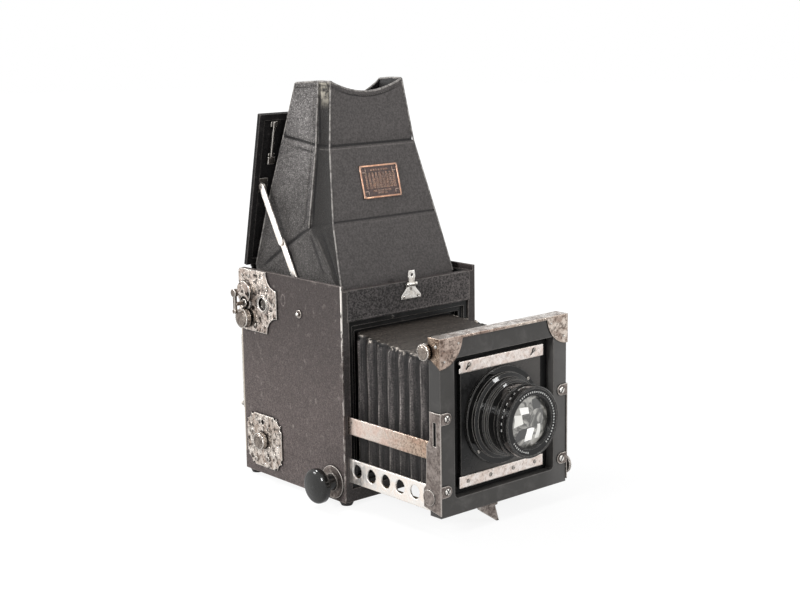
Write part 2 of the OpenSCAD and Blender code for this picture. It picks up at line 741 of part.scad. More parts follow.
module focus_knob() {
  color([0.05, 0.05, 0.05]) out_left(-half_w - 3 - clear, focus_y, focus_z) difference() {
    rotate_extrude() polygon(concat(
      [[0, 0], [9, 0], [7.5, 6], [8.5, knob_out - 12.5], [knob_r - 3, knob_out - 11.8], [knob_r - 0.8, knob_out - 10.8],
        [knob_r, knob_out - 9.4], [knob_r, knob_out - 5.6]],
      [for (a = [20 : 20 : 80]) [knob_r - 4 + 4 * cos(a), knob_out - 5.6 + 3.8 * sin(a)]],
      [[knob_r - 9, knob_out - 0.8], [knob_r - 15, knob_out - 0.1], [0, knob_out]]
    ));
    translate([0, 0, -1]) cylinder(h = 9, r = shaft_r + 0.02);
  }
}

module gear_shape(n, m, play) {
  r = n * m / 2;
  polygon([for (i = [0 : n - 1]) let (a = 90 + i * 360 / n)
    for (q = [[-90 / n, r - 1.15 * m], [-(PI * m / 2 - play) * 0.5 * 57.3 / r * 1.12, r - 1.1 * m],
      [-(PI * m / 2 - play) * 0.5 * 57.3 / r, r], [-0.28 * m * 57.3 / r, r + 0.8 * m],
      [0.28 * m * 57.3 / r, r + 0.8 * m], [(PI * m / 2 - play) * 0.5 * 57.3 / r, r],
      [(PI * m / 2 - play) * 0.5 * 57.3 / r * 1.12, r - 1.1 * m]])
      [q[1] * cos(a + q[0]), q[1] * sin(a + q[0])]]);
}

module focus_shaft() {
  color([0.7, 0.6, 0.4]) {
    translate([-half_w - 10, focus_y, focus_z]) rotate([0, 90, 0]) cylinder(h = half_w + 10 + in_x + side_t - 3.5, r = shaft_r);
    for (x = [-in_x + 0.8, in_x - rack_w + 0.2])
      translate([x, focus_y, focus_z]) rotate([90, 0, 90])
        linear_extrude(rack_w - 1) gear_shape(pinion_n, tooth_m, tooth_play);
  }
}

// Catch

module latch_base() {
  y0 = front_y - 1.3;
  color([0.85, 0.8, 0.74]) {
    out_front(0, front_y, 0) linear_extrude(1.3)
      polygon([[-14, latch_z - 16], [14, latch_z - 16], [14, latch_z - 12.5], [5, latch_z - 2.5], [-5, latch_z - 2.5], [-14, latch_z - 12.5]]);
    difference() {
      union() for (x = [-7, 4.2])
        translate([x, front_y - 2.2, latch_z]) rotate([0, 90, 0]) cylinder(h = 2.8, r = 2.2);
      translate([-10, front_y - 2.2, latch_z]) rotate([0, 90, 0]) cylinder(h = 20, r = 0.9 + run);
    }
    for (x = [-7, 4.2])
      span([x, front_y - 1.3, latch_z - 3.5], [x + 2.8, front_y, latch_z]);
  }
}

module latch_tongue() {
  color([0.85, 0.8, 0.74]) translate([0, front_y - 2.2, latch_z]) {
    rotate([0, 90, 0]) translate([0, 0, -7]) cylinder(h = 14, r = 0.9);
    rotate([0, 90, 0]) translate([0, 0, -3.9]) cylinder(h = 7.8, r = 2);
    difference() {
      out_front(0, 0.9, 0) linear_extrude(1.5) union() {
        translate([-3.9, 0]) square([7.8, 6]);
        polygon([[-3.9, 5], [3.9, 5], [5, 8], [4, 15], [-4, 15], [-5, 8]]);
      }
      out_front(0, 2, 10) cylinder(h = 4, r = 1.6);
    }
  }
}

// Lid, drawn closed about its hinge and then swung open

module lid_place() {
  translate([0, hinge_y, hinge_z]) rotate([-lid_open, 0, 0]) children();
}

module lid() {
  color([0.16, 0.15, 0.15]) lid_place() difference() {
    span([-lid_hw, -lid_len, lid_under], [lid_hw, -3.5, lid_under + lid_t]);
    span([-lid_hw + lid_rim, -lid_len + lid_rim, lid_under - 1], [lid_hw - lid_rim, -3.5 - lid_rim, lid_under + lid_t - lid_panel_t]);
    // Long edges rounded on the outside
    both_sides() translate([lid_hw, -lid_len - 1, lid_under + lid_t]) rotate([-90, 0, 0]) rotate(45)
      translate([-0.9, -0.9, 0]) cube([1.8, 1.8, lid_len + 2]);
  }
}

module hinge_body() {
  color([0.2, 0.19, 0.19]) {
    difference() {
      union() for (x = [-hinge_x, hinge_x - 50])
        translate([x, hinge_y, hinge_z]) rotate([0, 90, 0]) cylinder(h = 50, r = 2.3);
      translate([-hinge_x - 10, hinge_y, hinge_z]) rotate([0, 90, 0]) cylinder(h = 2 * hinge_x + 20, r = 1.2 + run);
    }
    for (x = [-hinge_x, hinge_x - 50]) {
      span([x, back_y - 1.6, front_top], [x + 50, back_y - 0.2, hinge_z - 1.5]);
      span([x, hinge_y - 3, front_top], [x + 50, back_y - 0.2, front_top + 0.8]);
    }
  }
}

module hinge_lid() {
  color([0.2, 0.19, 0.19]) lid_place() {
    translate([50.5 - hinge_x, 0, 0]) rotate([0, 90, 0]) cylinder(h = 2 * (hinge_x - 50.5), r = 2.3);
    translate([-hinge_x - 2, 0, 0]) rotate([0, 90, 0]) cylinder(h = 2 * hinge_x + 4, r = 1.2);
    span([50.5 - hinge_x, -14, lid_under + lid_t], [hinge_x - 50.5, -1, lid_under + lid_t + 1]);
  }
}

module stay_bracket() {
  color([0.8, 0.76, 0.7]) lid_place() {
    span([-lid_hw + lid_rim, -stay_reach - 8, lid_under + lid_t - lid_panel_t - 1.2],
      [-lid_hw + lid_rim + 12, -stay_reach + 8, lid_under + lid_t - lid_panel_t]);
    slab_yz(stay_x + stay_t + 0.4, stay_x + stay_t + 1.8) {
      translate([-stay_reach - 4, stay_cz]) square([8, lid_under + lid_t - lid_panel_t - stay_cz]);
      translate([-stay_reach, stay_cz]) circle(4);
    }
    translate([stay_x - 0.3, -stay_reach, stay_cz]) rotate([0, 90, 0]) cylinder(h = stay_t + 2, r = 1.5);
  }
}

module stay_upper() {
  color([0.85, 0.8, 0.72]) difference() {
    slab_yz(stay_x, stay_x + stay_t) link_shape([stay_by, stay_bz], [knee_y, knee_z], stay_w);
    translate([stay_x - 1, stay_by, stay_bz]) rotate([0, 90, 0]) cylinder(h = stay_t + 2, r = 1.5 + run);
  }
}

module stay_lower() {
  color([0.85, 0.8, 0.72]) {
    difference() {
      slab_yz(stay_low_x, stay_low_x + stay_t) link_shape([anchor_y, anchor_z], [knee_y, knee_z], stay_w);
      translate([stay_low_x - 1, anchor_y, anchor_z]) rotate([0, 90, 0]) cylinder(h = stay_t + 2, r = 1.8 + run);
    }
    translate([stay_low_x + stay_t - eps, knee_y, knee_z]) rotate([0, 90, 0]) cylinder(h = 1, r1 = 2.6, r2 = 2);
  }
}

module hood_strut() {
  z1 = lid_under + lid_t - lid_panel_t;
  x = lid_rim + 11.5 - lid_hw;
  y0 = 8.5 - lid_len;
  y1 = -stay_reach - 32;
  color([0.8, 0.76, 0.7]) lid_place() {
    span([x, y0, z1 - 3.6], [x + 2.4, y1, z1 - 1.2]);
    for (y = [y0, y1 - 4])
      span([x - 2, y, z1 - 1.6], [x + 6, y + 6, z1]);
    span([x - 3, y1, z1 - 3.6], [x + 6, y1 + 8, z1]);
  }
}

// Hood: eight corners a row, each row a little narrower, hollow from the screen to the rim
function hood_ring(r, t) = let (
    f = r[3] + t, m = r[4], b = r[5] - t, dip = r[9]
  ) [
    [-r[0] + t, f, r[6]], [0, f, r[6] - dip], [r[0] - t, f, r[6]], [r[1] - t, m, r[7]],
    [r[2] - t, b, r[8]], [0, b, r[8] - dip], [-r[2] + t, b, r[8]], [-r[1] + t, m, r[7]]
  ];

module hood() {
  n = len(hood_rows);
  pts = concat([for (r = hood_rows) for (p = hood_ring(r, 0)) p], [for (r = hood_rows) for (p = hood_ring(r, hood_t)) p]);
  inner = n * 8;
  color([0.32, 0.3, 0.3]) polyhedron(points = pts, faces = concat(
    [for (j = [0 : n - 2], i = [0 : 7], h = [0, 1]) let (k = (i + 1) % 8)
      h == 0 ? [j * 8 + i, (j + 1) * 8 + i, j * 8 + k] : [j * 8 + k, (j + 1) * 8 + i, (j + 1) * 8 + k]],
    [for (j = [0 : n - 2], i = [0 : 7], h = [0, 1]) let (k = (i + 1) % 8)
      h == 0 ? [inner + j * 8 + i, inner + j * 8 + k, inner + (j + 1) * 8 + i]
        : [inner + j * 8 + k, inner + (j + 1) * 8 + k, inner + (j + 1) * 8 + i]],
    [for (i = [0 : 7], h = [0, 1]) let (k = (i + 1) % 8)
      h == 0 ? [i, k, inner + i] : [k, inner + k, inner + i]],
    [for (i = [0 : 7], h = [0, 1]) let (k = (i + 1) % 8, o = (n - 1) * 8)
      h == 0 ? [o + i, inner + o + i, o + k] : [o + k, inner + o + i, inner + o + k]]
  ));
}

module info_plate() {
  a = hood_rows[2];
  b = hood_rows[3];
  tilt = atan2(b[3] - a[3], b[6] - a[6]);
  color([0.72, 0.42, 0.26]) translate([2, (a[3] + b[3]) / 2, (a[6] + b[6]) / 2]) rotate([90 - tilt, 0, 0])
    translate([0, 0, 0.1]) {
      difference() {
        linear_extrude(1) round_rect(57, 37, 1.5);
        translate([0, 0, 0.6]) linear_extrude(1) difference() {
          round_rect(50, 30, 3);
          for (x = [-1, 1], y = [-1, 1])
            translate([x * 25, y * 15]) circle(5);
        }
      }
      for (x = [-1, 1], y = [-1, 1])
        translate([x * 24.5, y * 14.5, 1 - eps]) cylinder(h = 0.5, r = 1.6);
    }
}

// Bellows: a zigzag plan cut to a tapering side view, hollow all through
module bellows_plan(t) {
  y0 = trim_y3;
  l = rack_out + trim_y3 - front_y;
  hw0 = trim3_hw - 2;
  function edge(i) = let (u = i / (2 * pleats)) hw0 + (bellows_hw - hw0) * u - (i % 2 == 1 ? 0 : pleat_d) - t;
  right = [for (i = [0 : 2 * pleats]) [edge(i), y0 - l * i / (2 * pleats)]];
  polygon(concat(right, [for (i = [2 * pleats : -1 : 0]) [-right[i][0], right[i][1]]]));
}

module bellows_side(t) {
  polygon([[trim_y3, open_z0 + 26 + t], [trim_y3, open_z1 - 19 - t], [std_back, std_top_z - 28 - t], [std_back, std_z0 + 18 + t]]);
}

module bellows_form(t) {
  intersection() {
    linear_extrude(body_h) bellows_plan(t);
    slab_yz(-body_w, body_w) bellows_side(t);
  }
}

module bellows() {
  color([0.13, 0.12, 0.12]) difference() {
    bellows_form(0);
    bellows_form(bellows_t);
  }
}

// Front standard

module standard_frame() {
  gx = std_in_hw + 4;
  color([0.15, 0.15, 0.15]) difference() {
    span([-std_hw, std_front, std_z0], [std_hw, std_back, std_top_z]);
    // Opening, its lower corners rounded at the front
    span([-std_in_hw, board_y - 2, std_in_z0], [std_in_hw, std_back + 1, std_in_z1]);
    out_front(0, board_y - 2 + eps, 0) linear_extrude(board_in) union() {
      translate([-std_in_hw, std_in_z0 + 5]) square([2 * std_in_hw, std_in_z1 - std_in_z0 - 5]);
      translate([5 - std_in_hw, std_in_z0]) square([2 * std_in_hw - 10, std_in_z1 - std_in_z0]);
      for (x = [-1, 1])
        translate([x * (std_in_hw - 5), std_in_z0 + 5]) circle(5);
    }
    // Channel in which the rising panel slides
    span([-gx - clear, slide_y0 - clear, std_in_z0 - 14.3], [gx + clear, slide_y1 + clear, std_in_z1 + 10.8]);
    out_right(std_hw - 4.3, std_back - 8, rail_z0 + 12) cylinder(h = 6, r = 2 + run);
  }
}

module corner_plate() {
  x = std_hw + sheet_t;
  z = std_top_z + sheet_t;
  y = std_front - sheet_t;
  // Quarter disc on the front face
  intersection() {
    out_front(x, std_front, z) cylinder(h = sheet_t, r = corner_r);
    span([x - corner_r, y - 1, z - corner_r], [x, std_front + 1, z]);
  }
  // Wrap on the side face
  slab_yz(std_hw, x) polygon([[y, z], [std_back, z], [std_back, z - 20], [y, z - corner_r]]);
}

module standard_cap() {
  color([0.83, 0.77, 0.71]) difference() {
    union() {
      span([-std_hw - sheet_t, std_front - sheet_t, std_top_z], [std_hw + sheet_t, std_back, std_top_z + sheet_t]);
      span([-std_hw - sheet_t, std_front - sheet_t, std_top_z - 1.6], [std_hw + sheet_t, std_front, std_top_z + sheet_t]);
      both_sides() corner_plate();
      // Ear behind the left corner that carries the locking screw
      slab_yz(-std_hw - sheet_t, -std_hw) {
        translate([lug_y, lug_z]) circle(7.4);
        translate([std_back - 3, lug_z - 7.4]) square([lug_y - std_back + 3, 14.8]);
      }
    }
    out_left(-std_hw + 1, lug_y, lug_z) cylinder(h = 4, r = 2 + run);
  }
}

module front_lock() {
  color([0.78, 0.73, 0.68]) {
    out_left(-std_hw + 4, lug_y, lug_z) cylinder(h = 8, r = 2);
    out_left(-std_hw - sheet_t - clear, lug_y, lug_z) {
      cylinder(h = 1.2, r = 6);
      translate([0, 0, 1.1]) linear_extrude(3.6) knurl_shape(8.6, 0.7, 28);
      translate([0, 0, 4.7 - eps]) cylinder(h = 0.8, r1 = 7.4, r2 = 5.5);
    }
  }
}

// One side plate with its two wrapped ears, drawn for the right side
module side_plate(z_low, z_high) {
  x = std_hw + sheet_t;
  y = std_front - sheet_t;
  boss_y = std_back;
  difference() {
    union() {
      slab_yz(std_hw, x) {
        polygon([[y, z_high + 6], [std_back - 1, z_high + 6], [std_back - 1, brace_z0 + brace_h + 3], [std_back + 3.5, brace_z0 + brace_h - 4],
          [std_back + 5, rail_z0 + rail_h], [std_back + 8.5, rail_z0 + rail_h - 4], [std_back + 8.5, rail_z0 + 3], [y, rail_z0 - 2]]);
      }
      out_right(x - eps, boss_y, rail_z0 + 14) cylinder(h = 1, r = 8.4);
      for (z = [z_low, z_high]) {
        span([x - 9, y, z - 6], [x, std_front, z + 6]);
        out_front(x - 9, std_front, z) cylinder(h = sheet_t, r = 6);
      }
    }
    // Upright slot
    span([std_hw - 1, std_back - 10.5, z_high - 28.5], [x + 1, std_back - 6.5, z_high - 4]);
  }
}

module side_plates() {
  color([0.66, 0.61, 0.57]) {
    difference() {
      side_plate(ear_low, ear_high);
      out_right(std_hw - 1, std_back - 8, rail_z0 + 12) cylinder(h = 6, r = 2 + run);
    }
    mirror([1, 0, 0]) side_plate(ear_low, ear_high);
  }
}

module standard_screws() {
  color([0.85, 0.82, 0.78]) {
    both_sides() for (z = [ear_low, ear_high])
      out_front(std_hw + sheet_t - 9, std_front - sheet_t, z) slot_screw(3.6, 1.4, 55);
    out_left(-std_hw - sheet_t, std_back - 11.6, std_top_z - 7) slot_screw(1.8, 0.7, 20);
    both_sides() out_front(std_hw - 5, std_front - sheet_t, std_top_z - 22) slot_screw(1.2, 0.5, 60);
    both_sides() out_front(std_hw - 24, std_front - sheet_t, std_top_z - 6) slot_screw(1.2, 0.5, 10);
  }
}

module rails() {
  color([0.86, 0.83, 0.79]) both_sides() difference() {
    span([rail_x0, std_back, rail_z0], [std_hw, rail_back, rail_z0 + rail_h]);
    for (i = [1 : 5])
      out_right(rail_x0 - 1, std_back + 0.5 + i * rail_pitch, rail_z0 + 14.2) cylinder(h = rail_t + 2, r = rail_hole_r);
  }
}

module racks() {
  root_z = rack_tip_z + 1.95 * tooth_m;
  first = std_back + 6;
  n = floor((focus_y - first) / tooth_pitch - 0.5);
  last = floor((rail_back - 1 - focus_y) / tooth_pitch - 0.5);
  wp = tooth_pitch / 2 - tooth_play;
  color([0.72, 0.62, 0.42]) both_sides() slab_yz(rail_x0 - rack_w, rail_x0) {
    translate([std_back + 2, root_z]) square([rail_back - std_back - 3, rail_z0 + 6 - root_z]);
    for (k = [-n : last]) translate([focus_y + (k - 0.5) * tooth_pitch, 0])
      polygon([[-wp / 2 - 0.35 * tooth_m, root_z + eps], [-wp / 2, pitch_z], [-wp / 2 + 0.3 * tooth_m, rack_tip_z],
        [wp / 2 - 0.3 * tooth_m, rack_tip_z], [wp / 2, pitch_z], [wp / 2 + 0.35 * tooth_m, root_z + eps]]);
  }
}

module braces() {
  color([0.86, 0.78, 0.72]) both_sides()
    span([rail_x0, std_back, brace_z0], [std_hw, brace_back, brace_z0 + brace_h]);
}

// Clamping nut on the right rail
module rail_nut() {
  x = std_hw + sheet_t + 1;
  color([0.75, 0.7, 0.65]) out_right(std_hw - 4, std_back - 8, rail_z0 + 12) cylinder(h = 4 + sheet_t + 2, r = 2);
  color([0.3, 0.29, 0.28]) out_right(x + clear, std_back - 8, rail_z0 + 12) {
    cylinder(h = 1.2, r = 4.5);
    translate([0, 0, 1]) linear_extrude(3) knurl_shape(11, 0.8, 32);
  }
}

// Plate and two ears under the standard that carry the prop foot's pin
module foot_bracket() {
  color([0.75, 0.7, 0.65]) difference() {
    union() {
      span([foot_x0 - 2, foot_y - 4, std_z0 - 1.2], [foot_x1 + 2, foot_y + 4, std_z0]);
      for (x = [foot_x0 - 1.9, foot_x1 + 0.3])
        slab_yz(x, x + 1.6) union() {
          translate([foot_y, foot_z]) circle(2.2);
          translate([foot_y - 2.2, foot_z]) square([4.4, std_z0 - foot_z - 0.6]);
        }
    }
    translate([foot_x0 - 5, foot_y, foot_z]) rotate([0, 90, 0]) cylinder(h = foot_x1 - foot_x0 + 10, r = 1 + run);
  }
}

// Three-cornered plate on a barrel, which folds back under the standard
module prop_foot() {
  color([0.82, 0.8, 0.77]) {
    out_front(0, foot_y + 0.7, 0) linear_extrude(1.4)
      polygon([[foot_x0, foot_z], [foot_x1, foot_z], [foot_x1, foot_z - 3.2], [foot_x1 + 5, -foot_h],
        [foot_x1 + 2, -foot_h], [foot_x0, foot_z - 3.6]]);
    translate([foot_x0, foot_y, foot_z]) rotate([0, 90, 0]) cylinder(h = foot_x1 - foot_x0, r = 1.8);
    translate([foot_x0 - 2, foot_y, foot_z]) rotate([0, 90, 0]) cylinder(h = foot_x1 - foot_x0 + 4, r = 1);
  }
}

// Lens panel and lens

module rise_panel() {
  gx = std_in_hw + 4;
  color([0.1, 0.1, 0.1]) difference() {
    span([-gx, slide_y0, std_in_z0 - 8], [gx, slide_y1, std_in_z1 + 8]);
    out_front(0, slide_y1 + 1, lens_z) cylinder(h = panel_slide_t + 2, r = tube_r + 0.5);
  }
}

module lens_board() {
  color([0.17, 0.17, 0.17]) difference() {
    span([-board_hw, board_y, board_z - board_h / 2], [board_hw, slide_y0, board_z + board_h / 2]);
    out_front(0, slide_y0 + 1, lens_z) cylinder(h = board_t + 2, r = tube_r + 0.3);
  }
}

module strip_upper() {
  z0 = board_z + board_h / 2 - strip_h;
  hl = strip_hl;
  color([0.87, 0.8, 0.74]) difference() {
    span([-hl, board_y - clear - 1.2, z0], [hl, board_y - clear, z0 + strip_h]);
    // Slanted slots that let the strip slide up and sideways off the board
    for (x = [-strip_slot_x, strip_slot_x])
      out_front(x, board_y + 1, z0 + strip_h - 4.4) linear_extrude(4) link_shape([0, 0], [-4.2, -4.2], 2.2);
    out_front(-hl, board_y + 1, z0 + strip_h - 5) cylinder(h = 4, r = 2.4);
  }
}

module strip_lower() {
  z0 = board_z - board_h / 2;
  color([0.87, 0.8, 0.74]) span([-strip_hl, board_y - 1.2, z0], [strip_hl, board_y, z0 + strip_h]);
}

module board_screws() {
  zu = board_z + board_h / 2 - 4.4;
  zl = board_z - board_h / 2 + strip_h / 2;
  color([0.75, 0.7, 0.66]) {
    for (x = [-strip_slot_x, strip_slot_x]) {
      out_front(x, board_y, zu) cylinder(h = 1.2 + 2 * clear + eps, r = 1);
      out_front(x, board_y - 1.2 - 2 * clear, zu) slot_screw(2.2, 0.9, 45);
    }
    for (x = [-1, -0.34, 0.34, 1] * (board_hw - 9))
      out_front(x, board_y - 1.2, zl) slot_screw(2, 0.8, 30);
    for (a = [42, 222, 318])
      out_front((flange_r - 4) * cos(a), board_y - 3.2, lens_z + (flange_r - 4) * sin(a)) slot_screw(2, 0.7, a);
  }
}

// Barrel section from behind the panel to the front bezel
module lens_barrel() {
  l = lens_len;
  neck = barrel_r - 3;
  color([0.04, 0.04, 0.05]) out_front(0, board_y, lens_z) rotate_extrude() polygon([
    [tube_r, -24], [tube_r, 0], [flange_r, 0], [flange_r, 2.4], [flange_r - 0.8, 3.2], [flange_r - 7, 3.2],
    [flange_r - 7, 6.6], [flange_r - 9.5, 7.6], [flange_r - 10.9, 8.2], [flange_r - 10.9, 13.6],
    [flange_r - 11.9, 14.6], [flange_r - 13.1, 14.6], [flange_r - 13.1, 17], [barrel_r, 18], [barrel_r, l - 18.5],
    [neck, l - 18.5], [neck, l - 12], [barrel_r - 0.6, l - 12], [barrel_r - 0.6, l - 6.5], [bezel_r, l - 6],
    [bezel_r, l - 0.8], [bezel_r - 0.8, l], [bezel_r - 2, l], [bezel_r - 2.6, l - 0.6], [front_glass_r + 1.6, l - 0.8],
    [front_glass_r + 0.8, l - 1.6], [front_glass_r, l - 4.4], [front_glass_r, l - 6], [front_glass_r + 3.4, l - 6],
    [front_glass_r + 3.4, l - 17], [bore_r, l - 17], [bore_r, -14], [bore_r - 1, -14], [bore_r - 1, -20.5],
    [bore_r + 2, -24]
  ]);
}

module aperture_ring() {
  l = lens_len;
  neck = barrel_r - 3;
  color([0.06, 0.06, 0.07]) out_front(0, board_y, lens_z) {
    rotate_extrude() polygon([
      [neck + run, l - 18.2], [barrel_r + 0.2, l - 18.2], [barrel_r + 1.2, l - 17.4], [barrel_r + 1.2, l - 13.2],
      [barrel_r + 0.2, l - 12.3], [neck + run, l - 12.3]
    ]);
    rotate(118) translate([barrel_r + 0.8, -1.5, l - 17]) cube([3.2, 3, 3.4]);
  }
}

module iris_leaves() {
  r0 = bore_r / 2 + 1;
  r1 = bore_r + 12;
  color([0.2, 0.2, 0.22]) out_front(0, board_y, lens_z) for (i = [0 : iris_n - 1])
    rotate(i * 360 / iris_n) translate([0, 0, 16]) linear_extrude(0.5) difference() {
      intersection() {
        circle(bore_r - 0.2);
        polygon([[r0, 0.2], [r1, 0.2], [r1 * cos(360 / iris_n), r1 * sin(360 / iris_n) - 0.4],
          [r0 * cos(360 / iris_n), r0 * sin(360 / iris_n) - 0.4]]);
      }
      circle(bore_r / 2);
    }
}

// Radius of curvature of a lens face from its rim and its rise
function face(r, h) = (r * r + h * h) / (2 * h);

function arc_pts(r, h, z) = let (c = face(r, h), a = asin(r / c))
  [for (i = [0 : 8]) let (b = a * (1 - i / 8)) [c * sin(b), z + c * cos(b) - (c - h)]];

module lens_glass() {
  l = lens_len;
  rg = front_glass_r + 3.2;
  color([0.7, 0.75, 0.75, 0.5]) out_front(0, board_y, lens_z) {
    rotate_extrude() polygon(concat([[0, l - 15], [rg, l - 15], [rg, l - 6.3]], [[front_glass_r - 0.3, l - 6.3]],
      arc_pts(front_glass_r - 0.3, 3, l - 6)));
    translate([0, 0, -20]) cylinder(h = 5.6, r = bore_r - 1.3);
  }
}

case();
front_panel();
front_trim();
case_feet();
tripod_bush();
screen_frame();
ground_glass();
shutter_frame();
curtain();
roller_upper();
roller_lower();
mirror_tray();
mirror_glass();
mirror_lever();
back_frame();
back_panel();
back_lock();
plate_upper();
plate_lower();
case_screws();
side_collars();
curtain_dial();
winding_key();
curtain_knob();
tension_knob();
release_button();
focus_knob();
focus_shaft();
latch_base();
latch_tongue();
lid();
hinge_body();
hinge_lid();
stay_bracket();
stay_upper();
stay_lower();
hood_strut();
hood();
info_plate();
bellows();
standard_frame();
standard_cap();
side_plates();
standard_screws();
rails();
racks();
braces();
front_lock();
rail_nut();
prop_foot();
foot_bracket();
rise_panel();
lens_board();
strip_upper();
strip_lower();
board_screws();
lens_barrel();
aperture_ring();
iris_leaves();
lens_glass();
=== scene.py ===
# %% [markdown]
# # A large box reflex camera, dressed for its portrait
# The solids of this camera come ready made, in metres and in one shared frame: the lens looks
# along -Y, the camera's winding side faces -X and the hood stands up along +Z. This lesson gives
# each solid its finish and builds what a solid model can't show well: the soft leather hood, the
# bellows, the stitching, the scales and the numbered plate.
# %% Load the frame
import math

import bmesh
import bpy
from mathutils import Matrix, Vector, noise


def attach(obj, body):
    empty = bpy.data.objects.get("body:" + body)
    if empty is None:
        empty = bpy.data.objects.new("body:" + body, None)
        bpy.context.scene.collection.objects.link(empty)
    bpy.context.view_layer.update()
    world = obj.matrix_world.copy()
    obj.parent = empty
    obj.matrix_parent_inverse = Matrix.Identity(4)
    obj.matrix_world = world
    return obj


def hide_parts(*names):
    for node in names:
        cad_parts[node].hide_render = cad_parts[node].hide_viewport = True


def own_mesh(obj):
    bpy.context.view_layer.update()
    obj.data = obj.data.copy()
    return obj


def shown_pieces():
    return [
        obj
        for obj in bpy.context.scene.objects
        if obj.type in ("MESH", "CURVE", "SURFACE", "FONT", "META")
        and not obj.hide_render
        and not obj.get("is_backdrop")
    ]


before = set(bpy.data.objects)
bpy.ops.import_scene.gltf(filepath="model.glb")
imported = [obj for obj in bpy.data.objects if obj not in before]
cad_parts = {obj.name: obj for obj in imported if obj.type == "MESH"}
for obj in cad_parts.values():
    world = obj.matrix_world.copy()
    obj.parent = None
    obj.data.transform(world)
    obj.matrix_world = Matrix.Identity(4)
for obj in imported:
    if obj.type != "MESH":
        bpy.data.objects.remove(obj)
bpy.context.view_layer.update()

# %% [markdown]
# ## Where the picture is taken from
# A camera is placed best by measuring it, not by eye. These numbers come from fitting the edges
# of the real object: a direction round it, a height above it, a slight roll and a long lens.
# %% Camera
moved, turned = Matrix.Translation, Matrix.Rotation


def in_scene(name, data):
    obj = bpy.data.objects.new(name, data)
    bpy.context.scene.collection.objects.link(obj)
    return obj


turn, lift, roll = (math.radians(a) for a in (-40.7456, 10.9816, -0.8967))
back = Vector((math.sin(turn) * math.cos(lift), -math.cos(turn) * math.cos(lift), math.sin(lift)))
level_right = (-back).cross(Vector((0, 0, 1))).normalized()
level_up = level_right.cross(-back)
right = math.cos(roll) * level_right + math.sin(roll) * level_up
up = -math.sin(roll) * level_right + math.cos(roll) * level_up

lens = bpy.data.cameras.new("Portrait_lens")
lens.lens, lens.sensor_width, lens.sensor_fit = 67.05, 36.0, "HORIZONTAL"
lens.clip_start, lens.clip_end = 0.05, 60.0
portrait = in_scene("Portrait_camera", lens)
axes = Matrix((right, up, back)).transposed().to_4x4()
portrait.matrix_world = moved((-1.0409, -1.2819, 0.5151)) @ axes
bpy.context.scene.camera = portrait
bpy.context.scene.view_settings.view_transform = "Standard"
print("camera looks from", [round(c, 3) for c in portrait.location])

